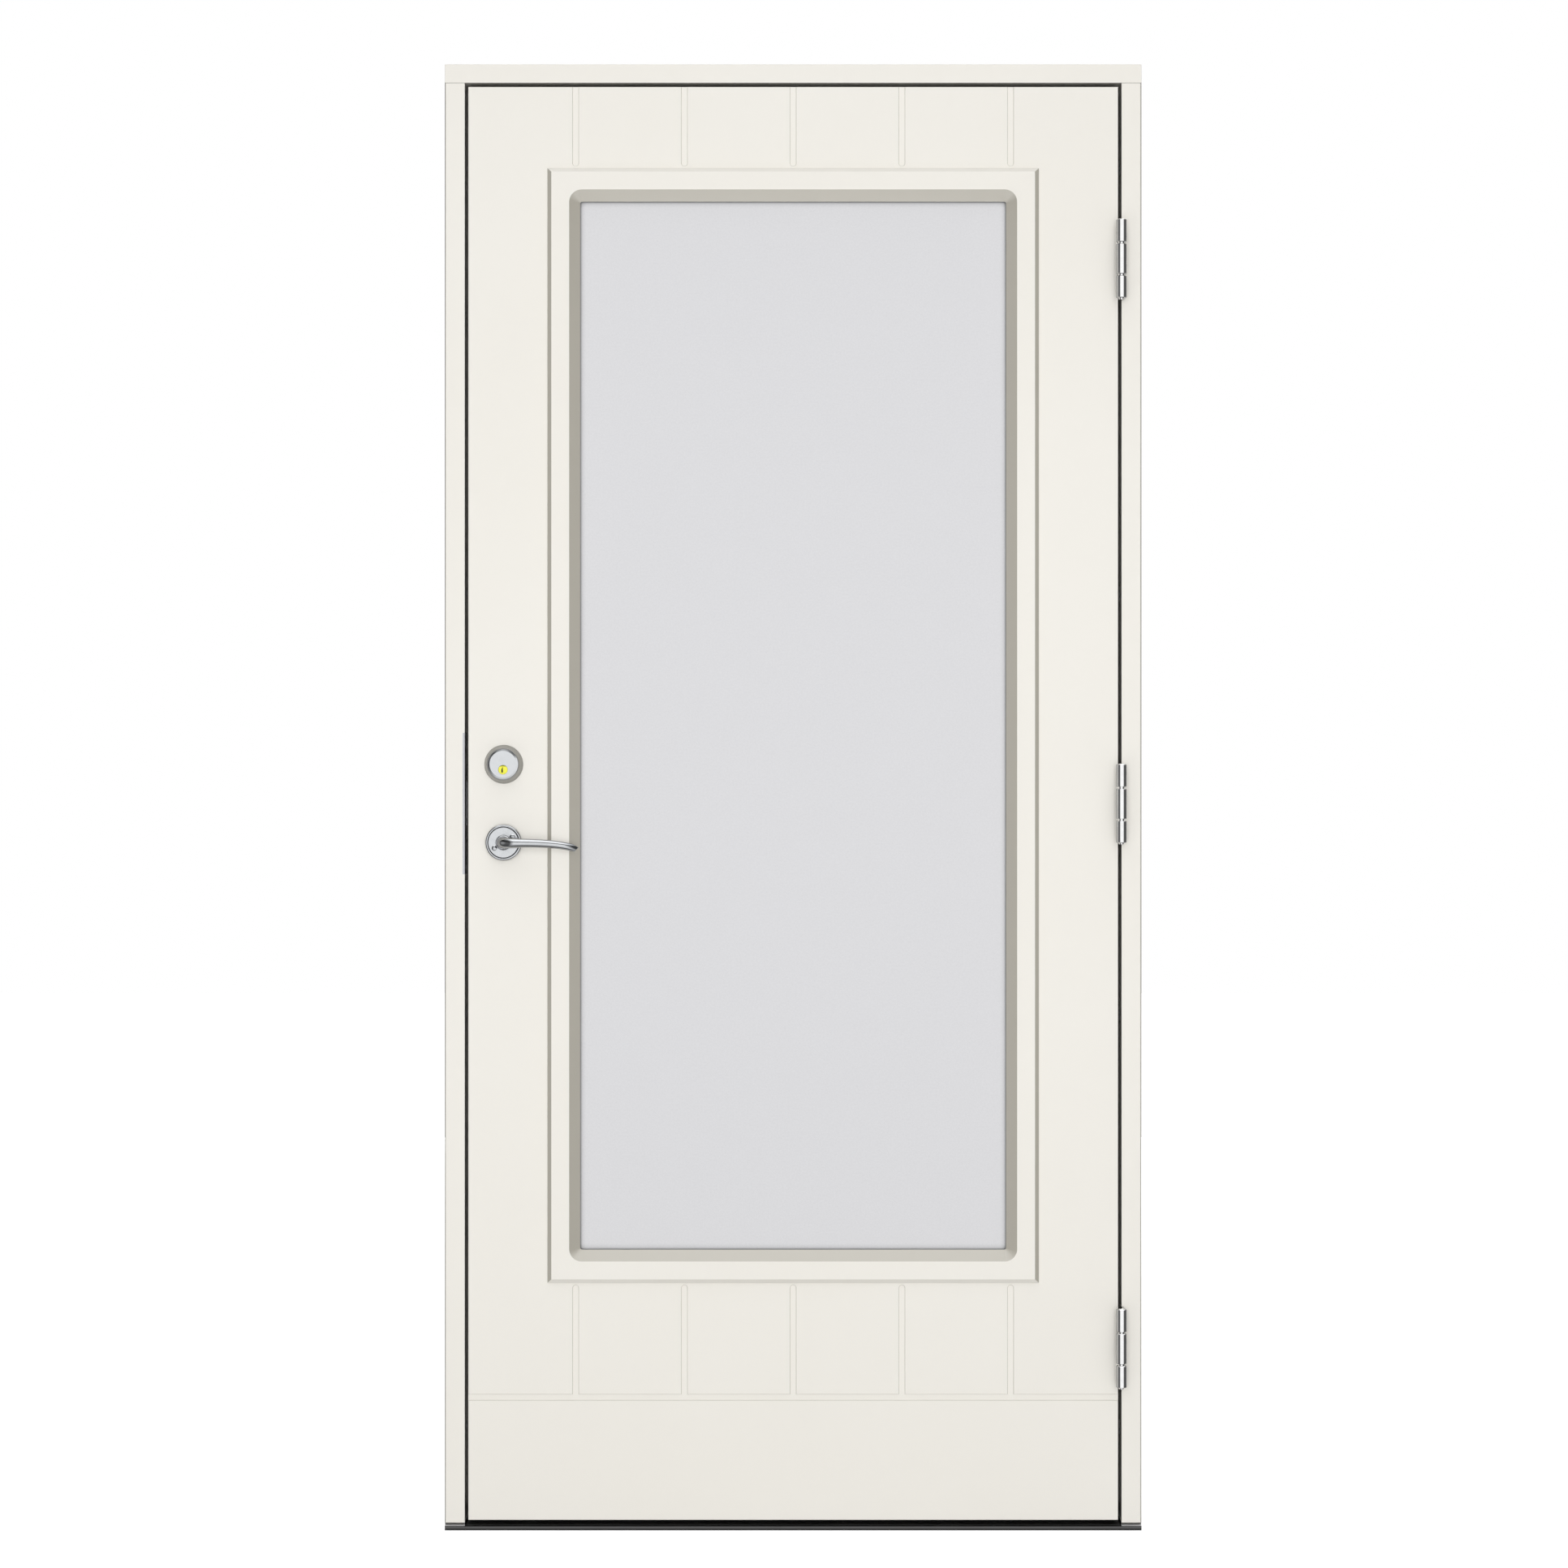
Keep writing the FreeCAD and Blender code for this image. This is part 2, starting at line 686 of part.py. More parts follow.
def glazing_gaskets():
    edge = SIGHT_EDGE + GASKET_SETBACK + GASKET_WIDTH
    bottom = SIGHT_BOTTOM - GASKET_SETBACK - GASKET_WIDTH
    top = SIGHT_TOP + GASKET_SETBACK + GASKET_WIDTH
    rings = []
    for y0 in (GLASS_FRONT - GASKET_THICKNESS, GLASS_BACK):
        rings.append(ring_of(edge, bottom, top, GASKET_WIDTH, y0, y0 + GASKET_THICKNESS))
    return Part.makeCompound(rings)


def glass_pane(index):
    y0 = GLASS_FRONT + index * (PANE_THICKNESS + PANE_SPACE)
    edge = APERTURE_EDGE - PANE_CLEARANCE
    bottom = APERTURE_BOTTOM + PANE_CLEARANCE
    top = APERTURE_TOP - PANE_CLEARANCE
    return box(-edge, edge, y0, y0 + PANE_THICKNESS, bottom, top)


def glass_spacers():
    inset = PANE_CLEARANCE + SPACER_SETBACK
    rings = []
    for index in range(PANE_COUNT - 1):
        y0 = GLASS_FRONT + PANE_THICKNESS + index * (PANE_THICKNESS + PANE_SPACE)
        rings.append(
            ring_of(
                APERTURE_EDGE - inset,
                APERTURE_BOTTOM + inset,
                APERTURE_TOP - inset,
                SPACER_WIDTH,
                y0,
                y0 + PANE_SPACE,
            )
        )
    return Part.makeCompound(rings)


# Lock

def lock_case():
    low, high = case_levels()
    case = box(
        -LEAF_EDGE + FOREND_THICKNESS,
        -LEAF_EDGE + CASE_DEPTH,
        LEAF_MIDDLE - CASE_THICKNESS / 2,
        LEAF_MIDDLE + CASE_THICKNESS / 2,
        low,
        high,
    )
    case = case.fuse(forend_outline(0))
    for cutter in [latch_box(LATCH_CLEARANCE)] + handle_holes(CORE_FRONT, CORE_BACK):
        case = case.cut(cutter)
    return case.removeSplitter()


def latch_bolt():
    return latch_box(0)


def cylinder_ring_outside():
    inner = CYLINDER_RADIUS + CYLINDER_CLEARANCE
    profile = [
        (inner, 0),
        (CYLINDER_RING_RADIUS, 0),
        (CYLINDER_RING_RADIUS, CYLINDER_RING_BASE),
        (CYLINDER_RING_TOP_RADIUS, CYLINDER_RING_HEIGHT),
        (inner, CYLINDER_RING_HEIGHT),
    ]
    ring = turned(profile)
    rim = [(CYLINDER_RING_TOP_RADIUS, CYLINDER_RING_HEIGHT)]
    ring = round_edges(ring, CYLINDER_RING_EDGE, rim)
    return placed(ring, V(LOCK_X, FRONT, CYLINDER_Z), V(0, -1, 0))


def cylinder_outside():
    depth = LEAF_MIDDLE - CASE_THICKNESS / 2 - FRONT
    profile = [
        (0, -depth),
        (BODY_RADIUS, -depth),
        (BODY_RADIUS, 0),
        (CYLINDER_RADIUS, 0),
        (CYLINDER_RADIUS, CYLINDER_HEIGHT - CYLINDER_BEVEL),
        (CYLINDER_FACE_RADIUS, CYLINDER_HEIGHT),
        (0, CYLINDER_HEIGHT),
    ]
    body = placed(turned(profile), V(LOCK_X, FRONT, CYLINDER_Z), V(0, -1, 0))
    return body.cut(plug_blank())


def plug_blank():
    face = FRONT - CYLINDER_HEIGHT
    z = CYLINDER_Z - PLUG_DROP
    start = V(LOCK_X, face - PLUG_RAISE, z)
    return rod(PLUG_RADIUS, start, V(LOCK_X, face + PLUG_LENGTH, z))


def cylinder_plug():
    face = FRONT - CYLINDER_HEIGHT - PLUG_RAISE
    z = CYLINDER_Z - PLUG_DROP
    keyway = box(
        LOCK_X - KEYWAY_WIDTH / 2,
        LOCK_X + KEYWAY_WIDTH / 2,
        face,
        face + KEYWAY_DEPTH,
        z - KEYWAY_HEIGHT / 2,
        z + KEYWAY_HEIGHT / 2,
    )
    return plug_blank().cut(keyway)


def thumbturn_rose_inside():
    end = V(LOCK_X, LEAF_BACK + TURN_ROSE_HEIGHT, CYLINDER_Z)
    disc = rod(CYLINDER_RING_RADIUS, V(LOCK_X, LEAF_BACK, CYLINDER_Z), end)
    return disc.makeFillet(TURN_ROSE_EDGE, edges_in_plane(disc, V(0, 1, 0), end.y))


def thumbturn_inside():
    y0 = LEAF_BACK + TURN_ROSE_HEIGHT
    y1 = y0 + TURN_STEM_LENGTH
    stem_end = V(LOCK_X, y1 + TURN_EDGE, CYLINDER_Z)
    stem = rod(TURN_STEM_RADIUS, V(LOCK_X, y0, CYLINDER_Z), stem_end)
    grip = box(
        LOCK_X - TURN_WIDTH / 2,
        LOCK_X + TURN_WIDTH / 2,
        y1,
        y1 + TURN_DEPTH,
        CYLINDER_Z - TURN_LENGTH / 2,
        CYLINDER_Z + TURN_LENGTH / 2,
    )
    grip = grip.makeFillet(TURN_EDGE, grip.Edges)
    return grip.fuse(stem).removeSplitter()


# Handle

def rose_screw_places():
    places = []
    for turn in (0, 180):
        angle = math.radians(SCREW_ANGLE + turn)
        x = LOCK_X + SCREW_CIRCLE * math.cos(angle)
        z = LEVER_HEIGHT + SCREW_CIRCLE * math.sin(angle)
        places.append((x, z))
    return places


def rose():
    # A flat plate with a rounded rim, a groove inside the rim and a boss round the neck.
    bore = NECK_RADIUS + NECK_CLEARANCE
    groove_outer = ROSE_RADIUS - ROSE_RIM + ROSE_RIM_GROOVE
    groove_inner = ROSE_RADIUS - ROSE_RIM
    boss_top = ROSE_THICKNESS + ROSE_BOSS_HEIGHT
    profile = [
        (bore, 0),
        (ROSE_RADIUS, 0),
        (ROSE_RADIUS, ROSE_THICKNESS),
        (groove_outer, ROSE_THICKNESS),
        (groove_outer, ROSE_THICKNESS - ROSE_RIM_DEPTH),
        (groove_inner, ROSE_THICKNESS - ROSE_RIM_DEPTH),
        (groove_inner, ROSE_THICKNESS),
        (ROSE_BOSS_RADIUS, ROSE_THICKNESS),
        (ROSE_BOSS_RADIUS, boss_top),
        (bore, boss_top),
    ]
    body = turned(profile)
    body = round_edges(body, ROSE_EDGE, [(ROSE_RADIUS, ROSE_THICKNESS)])
    body = round_edges(body, ROSE_RIM_EDGE, [(groove_outer, ROSE_THICKNESS)])
    body = round_edges(body, ROSE_BOSS_EDGE, [(ROSE_BOSS_RADIUS, boss_top)])
    return placed(body, V(LOCK_X, FRONT, LEVER_HEIGHT), V(0, -1, 0))


def rose_screw(x, z):
    # Domed head: a slice of a ball that sits on the face of the rose.
    ball = (SCREW_RADIUS**2 + SCREW_HEIGHT**2) / (2 * SCREW_HEIGHT)
    face = FRONT - ROSE_THICKNESS
    head = Part.makeSphere(ball, V(x, face + ball - SCREW_HEIGHT, z))
    keep = box(x - ball, x + ball, face - SCREW_HEIGHT, face, z - ball, z + ball)
    return head.common(keep)


def rose_screws():
    heads = [rose_screw(x, z) for x, z in rose_screw_places()]
    return Part.makeCompound(heads + [to_inside(head) for head in heads])


def spindle(gap):
    half = SPINDLE_SIDE / 2 + gap
    reach = SPINDLE_INSERT - NECK_BACK
    y0 = FRONT - reach
    y1 = LEAF_BACK + reach
    return box(LOCK_X - half, LOCK_X + half, y0, y1, LEVER_HEIGHT - half, LEVER_HEIGHT + half)


def ridged_section(centre, along, height, depth, crest):
    # A closed section square to the grip. Its front is round with crest 0 and a sharp ridge with 1.
    up = V(0, 0, 1) - along * along.z
    up.normalize()
    front = along.cross(up)
    points = []
    for index in range(SECTION_POINTS):
        turn = 2 * math.pi * index / SECTION_POINTS
        rise = math.sin(turn)
        reach = math.cos(turn)
        if reach > 0:
            reach = between(reach, 1 - abs(rise), crest)
        points.append(centre + front * (reach * depth / 2) + up * (rise * height / 2))
    curve = Part.BSplineCurve()
    curve.interpolate(Points=points + points[:1])
    return Part.Wire(curve.toShape())


def between(first, last, share):
    return first + (last - first) * share


def grip_centre(share):
    # Middle of the grip at a share of its length from the lock's axis to the tip.
    return V(
        LOCK_X + share * LEVER_LENGTH,
        FRONT - NECK_LENGTH + GRIP_RETURN * share**GRIP_RETURN_POWER,
        LEVER_HEIGHT - GRIP_DROOP * share**GRIP_DROOP_POWER,
    )


def elbow_sections():
    # From the round neck, a little thinner than it, through a quarter turn to the grip.
    start_size = 2 * (NECK_RADIUS - NECK_STEP)
    sections = []
    for index in range(ELBOW_STATIONS):
        share = index / (ELBOW_STATIONS - 1)
        angle = share * math.pi / 2
        centre = V(
            LOCK_X + ELBOW_BEND * (1 - math.cos(angle)),
            FRONT - NECK_LENGTH + ELBOW_BEND * (1 - math.sin(angle)),
            LEVER_HEIGHT,
        )
        along = V(math.sin(angle), -math.cos(angle), 0)
        height = between(start_size, GRIP_HEIGHT, share)
        depth = between(start_size, GRIP_DEPTH, share)
        sections.append(ridged_section(centre, along, height, depth, 0))
    return sections


def grip_sections():
    sections = []
    for index in range(1, GRIP_STATIONS):
        part = index / (GRIP_STATIONS - 1)
        share = between(ELBOW_BEND / LEVER_LENGTH, 1 + TIP_OVERRUN, part)
        step = 0.001
        along = grip_centre(share + step) - grip_centre(share - step)
        along.normalize()
        height = between(GRIP_HEIGHT, GRIP_END_HEIGHT, part)
        depth = between(GRIP_DEPTH, GRIP_END_DEPTH, part)
        crest = GRIP_CREST * min(1, 2 * part)
        sections.append(ridged_section(grip_centre(share), along, height, depth, crest))
    return sections


def lever_tip_cutter():
    # Everything past the pointed end of the grip: under the tip and above its sloping shoulder.
    reach = 4 * GRIP_HEIGHT
    tip = grip_centre(1) + V(0, 0, GRIP_END_HEIGHT / 2 - TIP_DROP)
    under = box(0, reach, -reach, reach, -reach, reach)
    under.rotate(V(0, 0, 0), V(0, 1, 0), TIP_ANGLE)
    above = box(-reach, reach, -reach, reach, 0, reach)
    above.rotate(V(0, 0, 0), V(0, 1, 0), SHOULDER_ANGLE)
    cutter = under.fuse(above)
    cutter.translate(tip)
    return cutter


def lever():
    back = V(LOCK_X, FRONT - NECK_BACK, LEVER_HEIGHT)
    straight_end = V(LOCK_X, FRONT - NECK_LENGTH + ELBOW_BEND, LEVER_HEIGHT)
    neck = rod(NECK_RADIUS, back, straight_end)
    grip = Part.makeLoft(elbow_sections() + grip_sections(), True, False)
    return neck.fuse(grip.cut(lever_tip_cutter())).cut(spindle(SPINDLE_FIT))


PARTS = {
    "frame_head": frame_head(),
    "frame_jamb_lock_side": frame_jamb_lock_side(),
    "frame_jamb_hinge_side": frame_jamb_hinge_side(),
    "frame_stop_head": frame_stop_head(),
    "frame_stop_lock_side": frame_stop(-1),
    "frame_stop_hinge_side": frame_stop(1),
    "frame_seal": frame_seal(),
    "threshold_sill": threshold_sill(),
    "threshold_upstand": threshold_upstand(),
    "threshold_seal": threshold_seal(),
    "strike_plate": strike_plate(),
    "frame_fixing_sleeves": frame_fixing_sleeves(),
    "leaf_outer_skin": leaf_outer_skin(),
    "leaf_inner_skin": leaf_inner_skin(),
    "leaf_stile_lock_side": leaf_stile_lock_side(),
    "leaf_stile_hinge_side": leaf_stile_hinge_side(),
    "leaf_rail_top": leaf_rail(APERTURE_TOP, LEAF_TOP),
    "leaf_rail_bottom": leaf_rail(LEAF_BOTTOM, APERTURE_BOTTOM),
    "glazing_frame_outside": glazing_frame_outside(),
    "glazing_frame_inside": glazing_frame_inside(),
    "glazing_gaskets": glazing_gaskets(),
    "glass_pane_outside": glass_pane(0),
    "glass_pane_middle": glass_pane(1),
    "glass_pane_inside": glass_pane(PANE_COUNT - 1),
    "glass_spacers": glass_spacers(),
    "lock_case": lock_case(),
    "latch_bolt": latch_bolt(),
    "cylinder_ring_outside": cylinder_ring_outside(),
    "cylinder_outside": cylinder_outside(),
    "cylinder_plug": cylinder_plug(),
    "thumbturn_rose_inside": thumbturn_rose_inside(),
    "thumbturn_inside": thumbturn_inside(),
    "handle_rose_outside": rose(),
    "handle_rose_inside": to_inside(rose()),
    "rose_screws": rose_screws(),
    "lever_outside": lever(),
    "lever_inside": to_inside(lever()),
    "handle_spindle": spindle(0),
}

for place, height in HINGE_HEIGHTS.items():
    PARTS["hinge_frame_half_" + place] = hinge_frame_half(height)
    PARTS["hinge_leaf_half_" + place] = hinge_leaf_half(height)
PARTS["hinge_pins"] = Part.makeCompound([hinge_pin(height) for height in HINGE_HEIGHTS.values()])

os.makedirs("parts", exist_ok=True)
for name, shape in PARTS.items():
    shape.exportStep("parts/" + name + ".step")
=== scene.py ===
import json
import math

import bmesh
import bpy
from mathutils import Matrix, Vector


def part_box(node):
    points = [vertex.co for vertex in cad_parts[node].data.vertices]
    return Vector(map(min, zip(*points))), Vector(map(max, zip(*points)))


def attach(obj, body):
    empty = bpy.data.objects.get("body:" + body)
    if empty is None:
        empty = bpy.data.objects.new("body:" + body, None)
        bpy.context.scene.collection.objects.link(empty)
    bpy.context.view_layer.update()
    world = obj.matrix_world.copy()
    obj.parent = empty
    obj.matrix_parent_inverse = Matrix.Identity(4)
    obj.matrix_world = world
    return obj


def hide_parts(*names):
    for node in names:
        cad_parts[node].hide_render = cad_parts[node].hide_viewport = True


# Looks of a glazed exterior door in its frame, in metres.
# X runs to the right seen from outside, Y into the house and Z up.

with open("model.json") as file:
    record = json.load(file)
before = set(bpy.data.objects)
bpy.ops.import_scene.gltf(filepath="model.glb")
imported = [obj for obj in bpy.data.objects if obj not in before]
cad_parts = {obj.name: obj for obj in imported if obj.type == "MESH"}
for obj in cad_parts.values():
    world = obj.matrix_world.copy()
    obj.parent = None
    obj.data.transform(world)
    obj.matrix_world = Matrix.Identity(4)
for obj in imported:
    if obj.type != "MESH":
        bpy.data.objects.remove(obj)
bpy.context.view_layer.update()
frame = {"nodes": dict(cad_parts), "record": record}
nodes = frame["nodes"]
scene = bpy.context.scene

MM = 0.001

# Camera straight in front of the door
CAMERA_PLACE = (-0.013, -4.7525, 1.0604)
CAMERA_LENS = 75.95
SENSOR_WIDTH = 36.0

# Lamps in front of the door and behind it: distance, height, height of their aim, size, power
LAMP_DISTANCE = 5.2
LAMP_HEIGHT = 0.75
LAMP_AIM = 0.95
LAMP_SIZE = (2.4, 3.0)
FRONT_POWER = 142
REAR_POWER = 100

# World's light: its levels from straight ahead and from the sides, and the size of the
# direction's part along X between which one turns into the other
SKY_LEVELS = (1.10, 0.06)
SKY_TURN = (0.20, 0.75)

# Levels of the surround that mirrors show, by the direction's part along X and along Z
SURROUND_ACROSS = [
    (-1.0, 0.34), (-0.90, 0.12), (-0.64, 0.12), (-0.36, 1.0), (0.58, 1.0), (0.84, 0.08),
]
SURROUND_UPWARDS = [
    (-1.0, 0.08), (-0.88, 0.14), (-0.68, 0.72), (-0.20, 0.98), (0.26, 1.02), (0.36, 0.18),
    (0.54, 0.18), (0.72, 1.28), (1.0, 1.35),
]

# Floor: reach from the middle, tone, and the glow that makes it white for the eye
FLOOR_REACH = 12.0
FLOOR_TONE = 0.70
FLOOR_GLOW = 0.75

# Paint, linear colours: on open faces, and of painted shade in gaps and on slopes that look
# sideways or up and down
PAINT = (0.885, 0.860, 0.800)
PAINT_SHADE = (0.870, 0.842, 0.778)
PAINT_CREVICE_SHADE = (0.04, 0.036, 0.028)
FRAME_SIDE_SHADE = (0.20, 0.19, 0.16)
FRAME_FLAT_SHADE = (0.08, 0.075, 0.065)
LEAF_SLOPE_SHADE = (0.74, 0.715, 0.655)
GLAZING_SIDE_SHADE = (0.485, 0.46, 0.40)
GLAZING_FLAT_SHADE = (0.62, 0.595, 0.532)

# Size of the normal's part along an axis at which the painted shade of a slope begins and is
# full, and at which it begins to fade and is gone
SLOPE_RISE = (0.15, 0.55)
SLOPE_FALL = (0.90, 0.985)

# Scale of the paint's grain: drawn out along the height, and even
GRAIN_UPRIGHT = (3, 3, 0.12)
GRAIN_EVEN = (1, 1, 1)

# Frosted pane, linear colours: of its sparkle, and of the painted shade along the beads
PANE_DEEP = (0.80, 0.80, 0.82)
PANE_PALE = (0.84, 0.84, 0.86)
PANE_EDGE_SHADE = (0.24, 0.24, 0.245)

# Painted shade in crevices: how far a surface looks for others in metres, and the openness at
# which the painted shade is deepest and at which the surface is clear of it
PAINT_GAP = (0.008, 0.10, 0.80)
PANE_BORDER = (0.0085, 0.50, 0.94)
SATIN_CORNER = (0.02, 0.20, 0.90)
HANDLE_CORNER = (0.06, 0.34, 0.64)
CYLINDER_CORNER = (0.02, 0.08, 0.42)
HINGE_CORNER = (0.004, 0.05, 0.40)

# Metals, linear colours: bright chrome, and the painted shade of chrome in its corners and on
# its rims
BRIGHT_CHROME = (0.98, 0.98, 0.98)
CHROME_CORNER_SHADE = (0.08, 0.08, 0.09)
CHROME_RIM_SHADE = (0.13, 0.13, 0.14)
ALUMINIUM = {
    "colour": (0.08, 0.08, 0.08), "rough": (0.34, 0.5), "scale": (0.3, 12, 12), "scratch": 0.2,
}

# Size of the normal's part along Y under which metal has the painted shade of its rim, and over
# which its own tone
RIM_TURN = (0.28, 0.72)

# Front of the sill: its height in mm, painted shade and painted light by the height in mm, darker
# towards the floor and brighter up on its thicker ends, and the normal's part along Y between
# which a face counts as front
SILL_TOP = 11.0
SILL_FRONT_LIGHT_AND_SHADE = [
    (0.0, 0.006), (0.9, 0.010), (2.5, 0.085), (4.0, 0.125), (5.3, 0.16), (5.6, 0.05),
    (6.2, 0.06), (6.5, 0.72),
]
SILL_FACING = (-0.80, -0.50)

# Screws in mm: radius of the head, how far it stands out, rise from a hinge's middle and
# distance behind the leaf's face on each wing, rise from the latch on strike plate and forend
SCREW_RADIUS = 3.4
SCREW_PROUD = 0.15
WING_SCREWS = ((-42, 12), (-17, 20), (17, 20), (42, 12))
STRIKE_SCREWS = (-88, -45, 45, 88)
FOREND_SCREWS = (-108, 108)

# Slot for the key in mm from the plug's axis, down its right side and up its left, and how
# much smaller the plug's radius is than its hole's
KEYWAY = [
    (-0.2, 3.3), (-0.3, 1.9), (-0.9, 1.2), (-0.1, 0.3), (-0.7, -0.6), (0.1, -1.5), (-0.4, -2.4),
    (0.0, -3.9), (-2.0, -3.9), (-2.4, -2.5), (-1.8, -1.6), (-2.5, -0.7), (-1.8, 0.3),
    (-2.0, 1.2), (-1.1, 2.0), (-1.0, 3.3),
]
PLUG_PLAY = 0.1

# Lever in mm: length of the grip, distance of its middle from the leaf, radius of the elbow,
# the neck's radii by their distance from the leaf, and half height and half depth of the elbow
# at each quarter of its turn
LEVER_LENGTH = 108.4
LEVER_REACH = 50.0
LEVER_BEND = 22.0
LEVER_NECK = [
    (1.0, 7.1), (9.0, 7.1), (13.0, 7.1), (13.7, 7.6), (13.8, 9.3), (15.2, 9.5), (19.0, 9.2),
    (24.0, 8.7), (28.0, 8.3),
]
LEVER_ELBOW = [(7.94, 7.78), (7.58, 7.56), (7.22, 7.34), (6.86, 7.12)]

# Grip: shares of its length between which it has sections, one of them past the tip, their
# number, half height and half depth with their change over the length, and how far the end
# droops and turns back towards the leaf
GRIP_START = 0.20
GRIP_END = 1.16
GRIP_SECTIONS = 12
GRIP_HALF_HEIGHT = (6.75, -1.75)
GRIP_HALF_DEPTH = (7.1, -2.8)
GRIP_DROOP = 9.0
GRIP_TURN_BACK = 16.0

# Tip of the grip: cuts by their turn in degrees from a direction, rise of the point where they
# meet above the middle, and the rounding of edges sharper than an angle in degrees
TIP_CUTS = ((45, (1, 0, 0)), (32, (0, 0, 1)))
TIP_RISE = 2.5
TIP_ROUNDING = 0.45
TIP_SHARP = 25

# Lever: points round each section, and how often it is smoothed
LEVER_RING = 20
LEVER_SMOOTHING = 3

# Seals: depth of the foot in shares of the whole depth, and in shares of the width where the
# bulb leaves the foot, its middle and where it comes back to the foot
SEAL_FOOT = 0.28
BULB_LEAVES = 0.86
BULB_MIDDLE = 0.52
BULB_RETURNS = 0.18

# Bulb of the seals: half width and half depth in shares of half the depth before the foot,
# points round it, angle of the first and angle that they go through in degrees
BULB_HALF_WIDTH = 1.06
BULB_HALF_DEPTH = 0.98
BULB_POINTS = 13
BULB_START = -20
BULB_SWEEP = 220

# Lip of the seals: places of its two end points in shares of the width and depth
LIP_END = ((0.02, 0.30), (0, 0.34))

# Ribs on the sill: number, room before the first and after the last in steps from rib to rib,
# distance of their ends from the jambs in mm, and their profile in mm
RIB_COUNT = 7
RIB_MARGIN = 1.2
RIB_CLEARANCE = 1.0
RIB_PROFILE = [(-0.9, 0.0), (0.9, 0.0), (0.5, 0.7), (-0.5, 0.7)]

MATERIALS = {}


# Node helpers

def new_material(name):
    material = bpy.data.materials.new(name)
    material.use_nodes = True
    MATERIALS[name] = material
    return material.node_tree, material.node_tree.nodes["Principled BSDF"]


def set_inputs(shader, values):
    for name, value in values.items():
        shader.inputs[name].default_value = value


def object_coords(tree, scale=(1, 1, 1)):
    coords = tree.nodes.new("ShaderNodeTexCoord")
    mapping = tree.nodes.new("ShaderNodeMapping")
    mapping.inputs["Scale"].default_value = scale
    tree.links.new(coords.outputs["Object"], mapping.inputs["Vector"])
    return mapping.outputs["Vector"]


def part_along(tree, kind, axis):
    # Part along an axis of the Object place, of the Normal, or of the world's direction.
    coords = tree.nodes.new("ShaderNodeTexCoord")
    parts = tree.nodes.new("ShaderNodeSeparateXYZ")
    tree.links.new(coords.outputs[kind], parts.inputs[0])
    return parts.outputs[axis]


def noise(tree, vector, scale, detail=3.0, roughness=0.5):
    node = tree.nodes.new("ShaderNodeTexNoise")
    node.inputs["Scale"].default_value = scale
    node.inputs["Detail"].default_value = detail
    node.inputs["Roughness"].default_value = roughness
    tree.links.new(vector, node.inputs["Vector"])
    return node.outputs["Fac"]


def computed(tree, operation, *values):
    node = tree.nodes.new("ShaderNodeMath")
    node.operation = operation
    for value, socket in zip(values, node.inputs):
        tree.links.new(value, socket)
    return node.outputs[0]


def ramp_colour(tree, factor, low, high, start=0.3, end=0.7):
    node = tree.nodes.new("ShaderNodeValToRGB")
    node.color_ramp.elements[0].position = start
    node.color_ramp.elements[0].color = (*low, 1)
    node.color_ramp.elements[1].position = end
    node.color_ramp.elements[1].color = (*high, 1)
    tree.links.new(factor, node.inputs["Fac"])
    return node.outputs["Color"]


def spread(tree, factor, low, high, start=0.3, end=0.7):
    # From low to high while the factor goes from start to end.
    node = tree.nodes.new("ShaderNodeMapRange")
    node.inputs["From Min"].default_value = start
    node.inputs["From Max"].default_value = end
    node.inputs["To Min"].default_value = low
    node.inputs["To Max"].default_value = high
    tree.links.new(factor, node.inputs["Value"])
    return node.outputs["Result"]


def level_ramp(tree, value, stops, start, end):
    # A grey level that follows the (value, level) stops, for a value between start and end.
    node = tree.nodes.new("ShaderNodeValToRGB")
    elements = node.color_ramp.elements
    while len(elements) < len(stops):
        elements.new(0.5)
    for element, (place, level) in zip(elements, stops):
        element.position = (place - start) / (end - start)
        element.color = (level, level, level, 1)
    tree.links.new(spread(tree, value, 0.0, 1.0, start, end), node.inputs["Fac"])
    return node.outputs["Color"]


def mixed(tree, share, first, second):
    # From the first colour to the second, which may be outputs or plain colours.
    mix = tree.nodes.new("ShaderNodeMix")
    mix.data_type = "RGBA"
    tree.links.new(share, mix.inputs["Factor"])
    for name, colour in (("A", first), ("B", second)):
        if isinstance(colour, tuple):
            mix.inputs[name].default_value = (*colour, 1)
        else:
            tree.links.new(colour, mix.inputs[name])
    return mix.outputs["Result"]


def crevice_shade(tree, colour, deep, reach, dark_below, clear_above):
    # Painted shade: the tone deepens where surfaces face one another closely, in grooves, gaps and
    # along profiles.
    # The openness of a place is 1 where it stands free and 0 where it is shut in.
    openness = tree.nodes.new("ShaderNodeAmbientOcclusion")
    openness.samples = 8
    openness.inputs["Distance"].default_value = reach
    share = spread(tree, openness.outputs["AO"], 0.0, 1.0, dark_below, clear_above)
    return mixed(tree, share, deep, colour)


def slope_size(tree, axis):
    # Size of the surface normal's part along the axis.
    return computed(tree, "ABSOLUTE", part_along(tree, "Normal", axis))


def slope_mask(tree, axis):
    # 1 on slopes, 0 on faces that look along the axis or square to it.
    size = slope_size(tree, axis)
    rise = spread(tree, size, 0.0, 1.0, *SLOPE_RISE)
    return computed(tree, "MULTIPLY", rise, spread(tree, size, 1.0, 0.0, *SLOPE_FALL))


def lower_than(tree, mask, height):
    # Keeps the mask only under a height.
    place = part_along(tree, "Object", "Z")
    below = spread(tree, place, 1.0, 0.0, height - 0.5 * MM, height + 0.5 * MM)
    return computed(tree, "MULTIPLY", mask, below)


